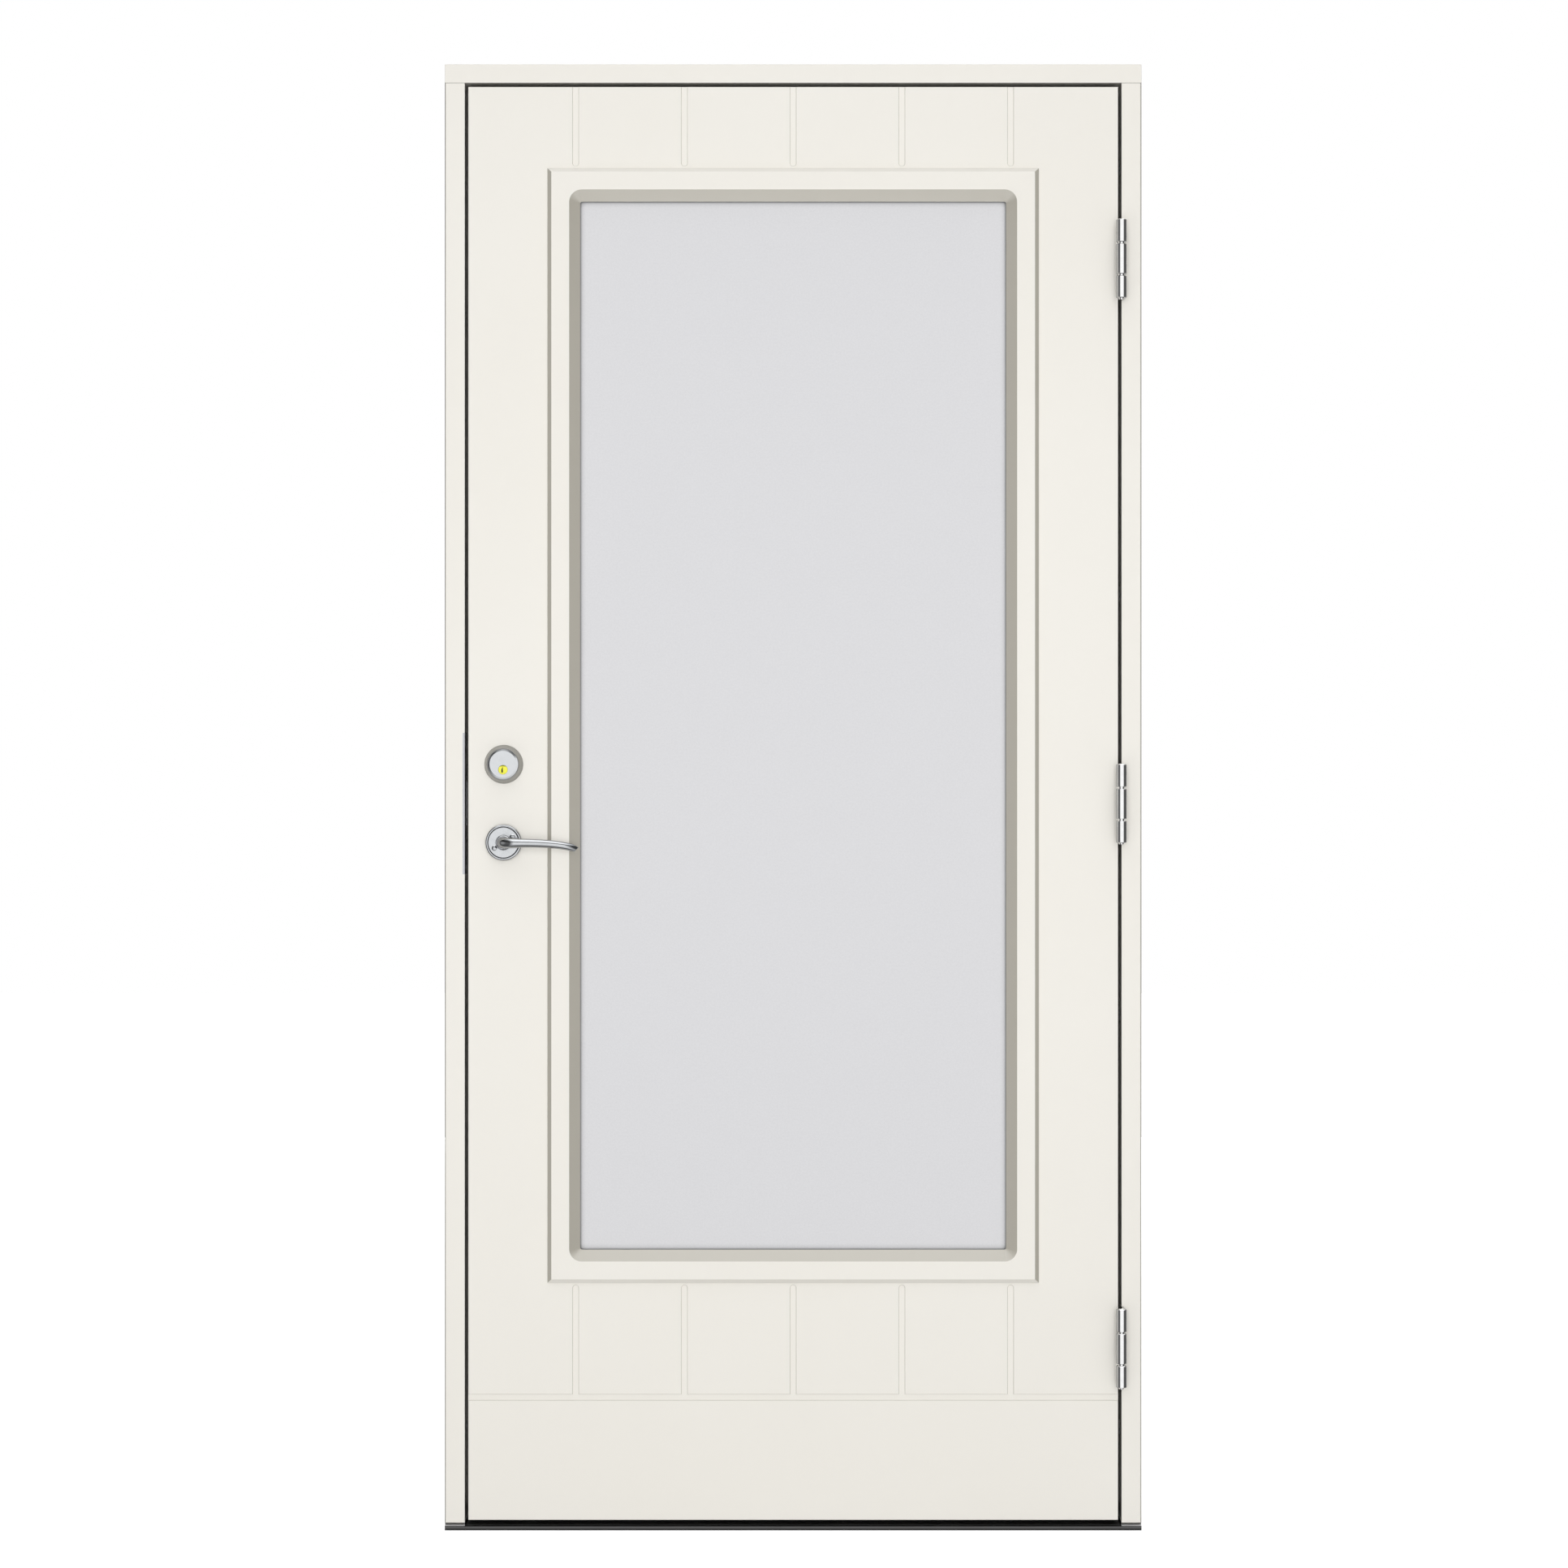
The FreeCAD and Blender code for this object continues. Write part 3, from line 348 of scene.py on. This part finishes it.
def facing_middle(tree, mask):
    # Keeps the mask where a slope of the glazing frame faces the middle of the glass.
    coords = tree.nodes.new("ShaderNodeTexCoord")
    low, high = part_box("glazing_frame_outside")
    arm = tree.nodes.new("ShaderNodeVectorMath")
    arm.operation = "SUBTRACT"
    arm.inputs[1].default_value = ((low[0] + high[0]) / 2, 0, (low[2] + high[2]) / 2)
    tree.links.new(coords.outputs["Object"], arm.inputs[0])
    along = tree.nodes.new("ShaderNodeVectorMath")
    along.operation = "DOT_PRODUCT"
    tree.links.new(arm.outputs["Vector"], along.inputs[0])
    tree.links.new(coords.outputs["Normal"], along.inputs[1])
    inwards = spread(tree, along.outputs["Value"], 1.0, 0.0, -0.10, 0.0)
    return computed(tree, "MULTIPLY", mask, inwards)


def add_bump(tree, shader, heights):
    # Heights are (output, strength, distance) rows, stacked one on another.
    normal = None
    for height, strength, distance in heights:
        node = tree.nodes.new("ShaderNodeBump")
        node.inputs["Strength"].default_value = strength
        node.inputs["Distance"].default_value = distance
        tree.links.new(height, node.inputs["Height"])
        if normal is not None:
            tree.links.new(normal, node.inputs["Normal"])
        normal = node.outputs["Normal"]
    tree.links.new(normal, shader.inputs["Normal"])


# Materials

def paint(name, grain, side_shade=None, flat_shade=None, gaps=False, moulding=False, top=None):
    # Sprayed satin paint: a faint roller texture, slow changes of tone and gloss, a clear top coat.
    # Small slopes of the profiles carry painted shade in a deeper tone, one where they look
    # sideways and another where they look up or down, on a moulding only towards its middle, and
    # only under the height top. With gaps, painted shade darkens the paint where it is shut in.
    tree, shader = new_material(name)
    vector = object_coords(tree)
    cloud = noise(tree, vector, scale=1.7, detail=4.0, roughness=0.55)
    fine = noise(tree, vector, scale=900.0, detail=2.0)
    mid = noise(tree, vector, scale=210.0, roughness=0.55)
    fibres = noise(tree, object_coords(tree, grain), scale=40.0, detail=5.0, roughness=0.6)
    colour = ramp_colour(tree, cloud, PAINT_SHADE, PAINT, start=0.30, end=0.62)
    if gaps:
        colour = crevice_shade(tree, colour, PAINT_CREVICE_SHADE, *PAINT_GAP)
    for axis, tone in (("X", side_shade), ("Z", flat_shade)):
        if tone:
            mask = slope_mask(tree, axis)
            if top:
                mask = lower_than(tree, mask, top)
            if moulding and axis == "Z":
                mask = facing_middle(tree, mask)
            colour = mixed(tree, mask, colour, tone)
    tree.links.new(colour, shader.inputs["Base Color"])
    tree.links.new(spread(tree, mid, low=0.30, high=0.40), shader.inputs["Roughness"])
    set_inputs(shader, {
        "Specular IOR Level": 0.35, "Coat Weight": 0.55, "Coat Roughness": 0.05, "Coat IOR": 1.45,
    })
    add_bump(tree, shader, [(fibres, 0.05, 0.0006), (mid, 0.10, 0.0003), (fine, 0.06, 0.0001)])


def metal(
    name, colour, rough, scale=(1, 1, 1), scratch=0.0, noise_scale=120.0, corners=None, rim=None
):
    # corners gives the painted shade of the metal in corners and against the leaf, rim the painted
    # shade where it turns away from the front and back of the leaf.
    tree, shader = new_material(name)
    cloud = noise(tree, object_coords(tree, scale), noise_scale, detail=4.0, roughness=0.6)
    darker = tuple(channel * 0.93 for channel in colour)
    tone = ramp_colour(tree, cloud, darker, colour)
    if rim:
        turned = spread(tree, slope_size(tree, "Y"), 1.0, 0.0, *RIM_TURN)
        tone = mixed(tree, turned, tone, rim)
    if corners:
        tone = crevice_shade(tree, tone, *corners)
    shader.inputs["Metallic"].default_value = 1.0
    tree.links.new(tone, shader.inputs["Base Color"])
    tree.links.new(spread(tree, cloud, *rough), shader.inputs["Roughness"])
    if scratch > 0:
        add_bump(tree, shader, [(cloud, scratch, 0.0001)])
    return tree, shader, tone


def sill_metal():
    # Anodised sill, whose front carries painted shade that deepens downwards, and painted light
    # on the brighter slopes at its thicker ends.
    tree, shader, tone = metal("sill_aluminium", **ALUMINIUM)
    stops = [(height * MM, level) for height, level in SILL_FRONT_LIGHT_AND_SHADE]
    levels = level_ramp(tree, part_along(tree, "Object", "Z"), stops, 0.0, SILL_TOP * MM)
    front = spread(tree, part_along(tree, "Normal", "Y"), 1.0, 0.0, *SILL_FACING)
    tree.links.new(mixed(tree, front, tone, levels), shader.inputs["Base Color"])


def rubber(name, colour, rough):
    tree, shader = new_material(name)
    vector = object_coords(tree)
    fine = noise(tree, vector, scale=1400.0, roughness=0.6)
    cloud = noise(tree, vector, scale=60.0)
    lighter = tuple(channel * 1.35 for channel in colour)
    tree.links.new(ramp_colour(tree, cloud, colour, lighter), shader.inputs["Base Color"])
    tree.links.new(spread(tree, cloud, rough - 0.06, rough + 0.06), shader.inputs["Roughness"])
    shader.inputs["Specular IOR Level"].default_value = 0.3
    add_bump(tree, shader, [(fine, 0.15, 0.0001)])


def frosted():
    # Acid-etched pane: fine sparkle and a milky body that hides what is behind it, with painted
    # shade as a darker border along the beads.
    tree, shader = new_material("frosted_glass")
    vector = object_coords(tree)
    fine = noise(tree, vector, scale=1600.0, detail=2.0, roughness=0.6)
    mid = noise(tree, vector, scale=380.0, roughness=0.6)
    colour = ramp_colour(tree, mid, PANE_DEEP, PANE_PALE)
    colour = crevice_shade(tree, colour, PANE_EDGE_SHADE, *PANE_BORDER)
    tree.links.new(colour, shader.inputs["Base Color"])
    tree.links.new(spread(tree, fine, low=0.62, high=0.78), shader.inputs["Roughness"])
    set_inputs(shader, {"Transmission Weight": 0.12, "IOR": 1.45, "Specular IOR Level": 0.25})
    add_bump(tree, shader, [(mid, 0.10, 0.0002), (fine, 0.22, 0.0001)])


def clear():
    # Clear panes: nearly see-through, with a faint reflection, so that light reaches the
    # frosted pane behind them.
    tree, shader = new_material("clear_glass")
    cloud = noise(tree, object_coords(tree), scale=3.0, detail=2.0)
    colour = ramp_colour(tree, cloud, (0.955, 0.975, 0.965), (0.965, 0.98, 0.972))
    tree.links.new(colour, shader.inputs["Base Color"])
    tree.links.new(spread(tree, cloud, low=0.0, high=0.02), shader.inputs["Roughness"])
    set_inputs(shader, {"Alpha": 0.06, "Specular IOR Level": 1.0, "IOR": 1.5})


# Painted shade on the slopes of frame, leaf and glazing frame, and in the gaps of frame and leaf
# edges
paint(
    "painted_wood_frame", GRAIN_UPRIGHT, FRAME_SIDE_SHADE, FRAME_FLAT_SHADE, gaps=True,
    top=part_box("frame_head")[0][2] + 1.0 * MM,
)
paint("painted_leaf", GRAIN_EVEN, LEAF_SLOPE_SHADE, LEAF_SLOPE_SHADE)
paint("painted_leaf_edge", GRAIN_UPRIGHT, gaps=True)
paint("painted_glazing_frame", GRAIN_EVEN, GLAZING_SIDE_SHADE, GLAZING_FLAT_SHADE, moulding=True)
rubber("seal_rubber", (0.012, 0.012, 0.013), rough=0.62)
rubber("gasket_rubber", (0.10, 0.10, 0.10), rough=0.6)
metal("dark_aluminium", **ALUMINIUM)
sill_metal()
metal("spacer_aluminium", (0.62, 0.62, 0.63), rough=(0.3, 0.45), scratch=0.1)
metal("lock_steel", (0.66, 0.67, 0.69), rough=(0.24, 0.36), scale=(12, 12, 0.5), scratch=0.12)
# Painted shade in the corners of the satin steel and the chromes, and on the rims of the chromes
metal(
    "satin_steel", (0.415, 0.41, 0.395), rough=(0.28, 0.38), scratch=0.10, noise_scale=500.0,
    corners=((0.14, 0.14, 0.13), *SATIN_CORNER),
)
metal(
    "polished_chrome", (0.71, 0.73, 0.75), rough=(0.09, 0.15),
    corners=(CHROME_CORNER_SHADE, *HANDLE_CORNER), rim=CHROME_RIM_SHADE,
)
metal(
    "cylinder_chrome", (0.74, 0.76, 0.78), rough=(0.12, 0.20),
    corners=(CHROME_CORNER_SHADE, *CYLINDER_CORNER), rim=CHROME_RIM_SHADE,
)
metal(
    "hinge_chrome", BRIGHT_CHROME, rough=(0.05, 0.10),
    corners=((0.16, 0.16, 0.17), *HINGE_CORNER), rim=(0.30, 0.30, 0.31),
)
metal("pin_chrome", BRIGHT_CHROME, rough=(0.03, 0.08))
metal("plug_brass", (0.98, 0.95, 0.12), rough=(0.09, 0.15), scratch=0.08, noise_scale=300.0)
frosted()
clear()

# Each node has its slot's material, apart from three with one of their own
finishes = {row["node"]: row["material_slot"] for row in frame["record"]["subparts"]}
finishes["hinge_pins"] = "pin_chrome"
finishes["cylinder_outside"] = "cylinder_chrome"
finishes["threshold_sill"] = "sill_aluminium"
for name, node in nodes.items():
    node.data.materials.clear()
    node.data.materials.append(MATERIALS[finishes[name]])


# Shape helpers

def middle(name):
    low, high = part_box(name)
    return Vector(((low[0] + high[0]) / 2, (low[1] + high[1]) / 2, (low[2] + high[2]) / 2))


def add_piece(name, mesh, body, slot, smooth_angle=30):
    mesh.materials.clear()
    mesh.materials.append(MATERIALS[slot])
    piece = bpy.data.objects.new(name, mesh)
    scene.collection.objects.link(piece)
    for face in mesh.polygons:
        face.use_smooth = True
    mesh.set_sharp_from_angle(angle=math.radians(smooth_angle))
    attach(piece, body)
    return piece


def evaluated(data, smoothing=0):
    # The mesh that a curve gives, or a coarse mesh once it is smoothed.
    carrier = bpy.data.objects.new("carrier", data)
    scene.collection.objects.link(carrier)
    if smoothing:
        modifier = carrier.modifiers.new("smoothing", "SUBSURF")
        modifier.levels = modifier.render_levels = smoothing
    bpy.context.view_layer.update()
    graph = bpy.context.evaluated_depsgraph_get()
    mesh = bpy.data.meshes.new_from_object(carrier.evaluated_get(graph))
    bpy.data.objects.remove(carrier)
    return mesh


def cut_plate(outline, holes, thickness, edge):
    # A plate with holes and rounded edges, flat in X and Y with its face at Z 0, facing up.
    curve = bpy.data.curves.new("outline", "CURVE")
    curve.dimensions = "2D"
    curve.fill_mode = "BOTH"
    for loop in [outline] + holes:
        spline = curve.splines.new("POLY")
        spline.points.add(len(loop) - 1)
        for point, (x, y) in zip(spline.points, loop):
            point.co = (x, y, 0, 1)
        spline.use_cyclic_u = True
    curve.extrude = thickness / 2 - edge
    curve.bevel_depth = edge
    curve.bevel_resolution = 1
    curve.offset = -edge
    mesh = evaluated(curve)
    bpy.data.curves.remove(curve)
    shape = bmesh.new()
    shape.from_mesh(mesh)
    bmesh.ops.remove_doubles(shape, verts=shape.verts, dist=1e-6)
    bmesh.ops.recalc_face_normals(shape, faces=shape.faces)
    bmesh.ops.translate(shape, verts=shape.verts, vec=(0, 0, -thickness / 2))
    shape.to_mesh(mesh)
    shape.free()
    return mesh


def swept(sections):
    # A closed tube through matching closed sections, with both ends filled.
    shape = bmesh.new()
    rings = [[shape.verts.new(point) for point in section] for section in sections]
    count = len(rings[0])
    for first, second in zip(rings, rings[1:]):
        for index in range(count):
            after = (index + 1) % count
            shape.faces.new((first[index], first[after], second[after], second[index]))
    shape.faces.new(rings[0])
    shape.faces.new(rings[-1])
    bmesh.ops.recalc_face_normals(shape, faces=shape.faces)
    mesh = bpy.data.meshes.new("swept")
    shape.to_mesh(mesh)
    shape.free()
    return mesh


def gathered(name, shapes):
    # One mesh from several (mesh, matrix) pairs.
    whole = bmesh.new()
    for mesh, matrix in shapes:
        copy = mesh.copy()
        copy.transform(matrix)
        whole.from_mesh(copy)
        bpy.data.meshes.remove(copy)
    mesh = bpy.data.meshes.new(name)
    whole.to_mesh(mesh)
    whole.free()
    return mesh


def facing(place, direction):
    # Puts a shape that faces up at a place, facing along the direction.
    turn = Vector(direction).to_track_quat("Z", "Y").to_matrix().to_4x4()
    return Matrix.Translation(place) @ turn


def turns(count):
    # Angles of points evenly round a circle.
    return [2 * math.pi * index / count for index in range(count)]


def circle(radius, count):
    return [(radius * math.cos(turn), radius * math.sin(turn)) for turn in turns(count)]


def cross(reach, half):
    # Outline of a cross with arms of the reach and of twice the half width.
    points = []
    for turn in turns(4):
        for x, y in ((reach, -half), (reach, half), (half, half)):
            points.append(
                (x * math.cos(turn) - y * math.sin(turn), x * math.sin(turn) + y * math.cos(turn))
            )
    return points


# Added pieces

def screw_head():
    # Flat head with a cross recess, whose bottom lies below the face.
    radius = SCREW_RADIUS * MM
    recess = cross(radius * 0.62, radius * 0.14)
    face = cut_plate(circle(radius, 32), [recess], thickness=1.0 * MM, edge=0.12 * MM)
    bottom = cut_plate(circle(radius * 0.8, 24), [], thickness=0.3 * MM, edge=0.05 * MM)
    lowered = Matrix.Translation((0, 0, -0.95 * MM))
    return gathered("screw_head", [(face, Matrix()), (bottom, lowered)])


def screws():
    leaf_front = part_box("leaf_outer_skin")[0][1]
    jamb_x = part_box("frame_jamb_hinge_side")[0][0] - SCREW_PROUD * MM
    leaf_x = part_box("leaf_stile_hinge_side")[1][0] + SCREW_PROUD * MM
    head = screw_head()
    on_frame = []
    on_leaf = []
    for place in ("bottom", "middle", "top"):
        hinge_z = middle("hinge_frame_half_" + place)[2]
        for rise, inset in WING_SCREWS:
            y = leaf_front + inset * MM
            z = hinge_z + rise * MM
            on_frame.append((head, facing((jamb_x, y, z), (-1, 0, 0))))
            on_leaf.append((head, facing((leaf_x, y, z), (1, 0, 0))))
    latch = middle("latch_bolt")
    strike_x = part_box("strike_plate")[1][0] + SCREW_PROUD * MM
    forend_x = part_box("lock_case")[0][0] - SCREW_PROUD * MM
    for rise in STRIKE_SCREWS:
        on_frame.append((head, facing((strike_x, latch[1], latch[2] + rise * MM), (1, 0, 0))))
    for rise in FOREND_SCREWS:
        on_leaf.append((head, facing((forend_x, latch[1], latch[2] + rise * MM), (-1, 0, 0))))
    add_piece("screws_in_frame", gathered("screws_in_frame", on_frame), "frame", "lock_steel")
    add_piece("screws_in_leaf", gathered("screws_in_leaf", on_leaf), "leaf", "lock_steel")


def keyed_plug():
    # Brass plug with the crooked slot that the key goes into.
    low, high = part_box("cylinder_plug")
    centre = middle("cylinder_plug")
    radius = (high[0] - low[0]) / 2 - PLUG_PLAY * MM
    keyway = [(x * MM, y * MM) for x, y in KEYWAY]
    mesh = cut_plate(circle(radius, 48), [keyway], thickness=high[1] - low[1], edge=0.3 * MM)
    mesh.transform(facing((centre[0], low[1], centre[2]), (0, -1, 0)))
    piece = add_piece("keyed_plug", mesh, "leaf", "plug_brass")
    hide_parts("cylinder_plug")


def grip_middle(share):
    # Middle of the grip, which droops and turns back towards the leaf at its end.
    return Vector((
        share * LEVER_LENGTH, GRIP_TURN_BACK * share**6 - LEVER_REACH, -GRIP_DROOP * share**4
    ))


def lever_sections():
    # (centre, along, half height, half depth) from the rose to past the tip, in mm from the
    # point where the lever's axis meets the face of the leaf.
    rows = []
    for out, radius in LEVER_NECK:
        rows.append((Vector((0, -out, 0)), Vector((0, -1, 0)), radius, radius))
    bend_start = Vector((0, LEVER_BEND - LEVER_REACH, 0))
    for index, (half_height, half_depth) in enumerate(LEVER_ELBOW, 1):
        turn = math.pi / 2 * index / len(LEVER_ELBOW)
        place = Vector((1 - math.cos(turn), -math.sin(turn), 0)) * LEVER_BEND
        along = Vector((math.sin(turn), -math.cos(turn), 0))
        rows.append((place + bend_start, along, half_height, half_depth))
    for index in range(1, GRIP_SECTIONS + 1):
        share = GRIP_START + (GRIP_END - GRIP_START) * index / GRIP_SECTIONS
        along = (grip_middle(share + 0.001) - grip_middle(share - 0.001)).normalized()
        half_height, half_depth = [
            start + change * share for start, change in (GRIP_HALF_HEIGHT, GRIP_HALF_DEPTH)
        ]
        rows.append((grip_middle(share), along, half_height, half_depth))
    return rows


def lever_mesh():
    # A smoothed ring comes out smaller than its points, and swell makes up for that.
    swell = 1 / (2 / 3 + math.cos(2 * math.pi / LEVER_RING) / 3)
    sections = []
    for place, along, half_height, half_depth in lever_sections():
        up = (Vector((0, 0, 1)) - along * along.z).normalized()
        front = along.cross(up)
        section = []
        for turn in turns(LEVER_RING):
            offset = front * (math.cos(turn) * half_depth) + up * (math.sin(turn) * half_height)
            section.append((place + offset * swell) * MM)
        sections.append(section)
    mesh = evaluated(swept(sections), LEVER_SMOOTHING)
    shape = bmesh.new()
    shape.from_mesh(mesh)
    tip = (grip_middle(1.0) + Vector((0, 0, TIP_RISE))) * MM
    for degrees, base in TIP_CUTS:
        normal = Matrix.Rotation(math.radians(degrees), 3, "Y") @ Vector(base)
        parts = shape.verts[:] + shape.edges[:] + shape.faces[:]
        bmesh.ops.bisect_plane(shape, geom=parts, plane_co=tip, plane_no=normal, clear_outer=True)
        open_edges = [edge for edge in shape.edges if edge.is_boundary]
        bmesh.ops.holes_fill(shape, edges=open_edges)
    sharp = math.radians(TIP_SHARP)
    rim = [edge for edge in shape.edges if edge.calc_face_angle(0) > sharp]
    bmesh.ops.bevel(
        shape, geom=rim, offset=TIP_ROUNDING * MM, segments=3, profile=0.5, affect="EDGES"
    )
    bmesh.ops.recalc_face_normals(shape, faces=shape.faces)
    shape.to_mesh(mesh)
    shape.free()
    return mesh


def levers():
    # The outer lever, and the same lever mirrored on the inner face of the leaf.
    outer_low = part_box("lever_outside")[0]
    inner_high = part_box("lever_inside")[1]
    axis = middle("handle_rose_outside")
    outer_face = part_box("leaf_outer_skin")[0][1]
    inner_face = outer_low[1] + inner_high[1] - outer_face
    outer = lever_mesh()
    inner = outer.copy()
    outer.transform(Matrix.Translation((axis[0], outer_face, axis[2])))
    piece = add_piece("grip_lever_outside", outer, "handle", "polished_chrome", 35)
    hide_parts("lever_outside")
    inner.transform(Matrix.Scale(-1, 4, (0, 1, 0)))
    inner.flip_normals()
    inner.transform(Matrix.Translation((axis[0], inner_face, axis[2])))
    piece = add_piece("grip_lever_inside", inner, "handle", "polished_chrome", 35)
    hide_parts("lever_inside")


def seal_profile(width, depth):
    # Flat foot on the stop, a bulb towards the leaf and a thin lip beside it.
    foot_face = depth - SEAL_FOOT * depth
    bulb = foot_face / 2
    points = [(0, depth), (width, depth), (width, foot_face), (BULB_LEAVES * width, foot_face)]
    for index in range(BULB_POINTS):
        turn = math.radians(BULB_START - index * BULB_SWEEP / (BULB_POINTS - 1))
        x = BULB_MIDDLE * width + bulb * BULB_HALF_WIDTH * math.cos(turn)
        y = bulb + bulb * BULB_HALF_DEPTH * math.sin(turn)
        points.append((x, max(y, 0.0)))
    points.append((BULB_RETURNS * width, foot_face))
    points += [(across * width, deep * depth) for across, deep in LIP_END]
    return points


def frame_gasket():
    # Bulb seal along the front of the stops, mitred at the two upper corners.
    low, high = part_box("frame_seal")
    inner_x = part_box("frame_stop_head")[1][0]
    width = high[0] - inner_x
    inner_z = high[2] - width
    profile = seal_profile(width, high[1] - low[1])
    path = [(-1, low[2], 0), (-1, inner_z, 1), (1, inner_z, 1), (1, low[2], 0)]
    sections = []
    for side, z, mitre in path:
        section = []
        for out, deep in profile:
            section.append((side * (inner_x + out), low[1] + deep, z + mitre * out))
        sections.append(section)
    piece = add_piece("frame_bulb_seal", swept(sections), "frame", "seal_rubber", 40)
    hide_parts("frame_seal")


def threshold_gasket():
    low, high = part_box("threshold_seal")
    profile = seal_profile(high[2] - low[2], high[1] - low[1])
    sections = []
    for x in (low[0], high[0]):
        sections.append([(x, low[1] + deep, low[2] + out) for out, deep in profile])
    piece = add_piece("threshold_bulb_seal", swept(sections), "frame", "seal_rubber", 40)
    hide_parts("threshold_seal")


def sill_ribs():
    # Low ribs on the top of the sill, which stop a shoe from slipping.
    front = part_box("threshold_sill")[0][1]
    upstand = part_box("threshold_upstand")[0]
    depth = upstand[1] - front
    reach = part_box("frame_jamb_hinge_side")[0][0] - RIB_CLEARANCE * MM
    shapes = []
    for index in range(RIB_COUNT):
        y = front + depth * (index + RIB_MARGIN) / (RIB_COUNT - 1 + 2 * RIB_MARGIN)
        sections = []
        for x in (-reach, reach):
            sections.append([(x, y + dy * MM, upstand[2] + dz * MM) for dy, dz in RIB_PROFILE])
        shapes.append((swept(sections), Matrix()))
    add_piece("sill_ribs", gathered("sill_ribs", shapes), "frame", "dark_aluminium")


screws()
keyed_plug()
levers()
frame_gasket()
threshold_gasket()
sill_ribs()


# Stage

def area_light(name, side, power):
    # A lamp on the front side, -1, or the rear side, 1. It lights the door, but the eye,
    # mirrors and panes don't show it.
    data = bpy.data.lights.new(name, "AREA")
    data.shape = "RECTANGLE"
    data.size, data.size_y = LAMP_SIZE
    data.energy = power
    light = bpy.data.objects.new(name, data)
    light.location = (0.0, side * LAMP_DISTANCE, LAMP_HEIGHT)
    direction = Vector((0, 0, LAMP_AIM)) - light.location
    light.rotation_euler = direction.to_track_quat("-Z", "Y").to_euler()
    light.visible_camera = False
    light.visible_glossy = False
    light.visible_transmission = False
    scene.collection.objects.link(light)


def seen(tree, path):
    # 1 for rays from the eye, straight or through glass.
    rays = (path.outputs["Is Camera Ray"], path.outputs["Is Transmission Ray"])
    return computed(tree, "MAXIMUM", *rays)


def sky(tree, level):
    node = tree.nodes.new("ShaderNodeBackground")
    node.inputs["Color"].default_value = (1, 1, 1, 1)
    if isinstance(level, float):
        node.inputs["Strength"].default_value = level
    else:
        tree.links.new(level, node.inputs["Strength"])
    return node.outputs[0]


def either(tree, share, first, second):
    mix = tree.nodes.new("ShaderNodeMixShader")
    tree.links.new(share, mix.inputs[0])
    tree.links.new(first, mix.inputs[1])
    tree.links.new(second, mix.inputs[2])
    return mix.outputs[0]


def studio():
    # Soft light that fades towards the sides, a pale surround in mirrors, white for the eye.
    world = bpy.data.worlds.new("studio")
    world.use_nodes = True
    tree = world.node_tree
    tree.nodes.clear()
    across = part_along(tree, "Generated", "X")
    upwards = part_along(tree, "Generated", "Z")
    path = tree.nodes.new("ShaderNodeLightPath")
    side = computed(tree, "ABSOLUTE", across)
    lit = sky(tree, spread(tree, side, *SKY_LEVELS, *SKY_TURN))
    columns = level_ramp(tree, across, SURROUND_ACROSS, -1.0, 1.0)
    rows = level_ramp(tree, upwards, SURROUND_UPWARDS, -1.0, 1.0)
    mirrored = sky(tree, computed(tree, "MULTIPLY", columns, rows))
    light = either(tree, path.outputs["Is Glossy Ray"], lit, mirrored)
    output = tree.nodes.new("ShaderNodeOutputWorld")
    shown = either(tree, seen(tree, path), light, sky(tree, 1.0))
    tree.links.new(shown, output.inputs["Surface"])
    scene.world = world


def floor():
    # Pale floor that keeps the door's shadow. Mirrors don't show it, but the surround.
    mesh = bpy.data.meshes.new("floor")
    far = FLOOR_REACH
    corners = [(-far, -far, 0), (far, -far, 0), (far, far, 0), (-far, far, 0)]
    mesh.from_pydata(corners, [], [(0, 1, 2, 3)])
    board = bpy.data.objects.new("floor", mesh)
    scene.collection.objects.link(board)
    material = bpy.data.materials.new("floor")
    material.use_nodes = True
    tree = material.node_tree
    tree.nodes.clear()
    diffuse = tree.nodes.new("ShaderNodeBsdfDiffuse")
    diffuse.inputs["Color"].default_value = (FLOOR_TONE, FLOOR_TONE, FLOOR_TONE, 1)
    path = tree.nodes.new("ShaderNodeLightPath")
    glow = tree.nodes.new("ShaderNodeEmission")
    strength = spread(tree, seen(tree, path), 0.0, FLOOR_GLOW, 0.0, 1.0)
    tree.links.new(strength, glow.inputs["Strength"])
    both = tree.nodes.new("ShaderNodeAddShader")
    tree.links.new(diffuse.outputs[0], both.inputs[0])
    tree.links.new(glow.outputs[0], both.inputs[1])
    hidden = tree.nodes.new("ShaderNodeBsdfTransparent")
    shown = either(tree, path.outputs["Is Glossy Ray"], both.outputs[0], hidden.outputs[0])
    output = tree.nodes.new("ShaderNodeOutputMaterial")
    tree.links.new(shown, output.inputs["Surface"])
    mesh.materials.append(material)
    return board


studio()
floor()

camera_data = bpy.data.cameras.new("camera")
camera_data.lens = CAMERA_LENS
camera_data.sensor_width = SENSOR_WIDTH
camera = bpy.data.objects.new("camera", camera_data)
camera.location = CAMERA_PLACE
camera.rotation_euler = (math.pi / 2, 0, 0)
scene.collection.objects.link(camera)
scene.camera = camera

area_light("front_panel", -1, FRONT_POWER)
area_light("rear_panel", 1, REAR_POWER)

scene.view_settings.view_transform = "Standard"
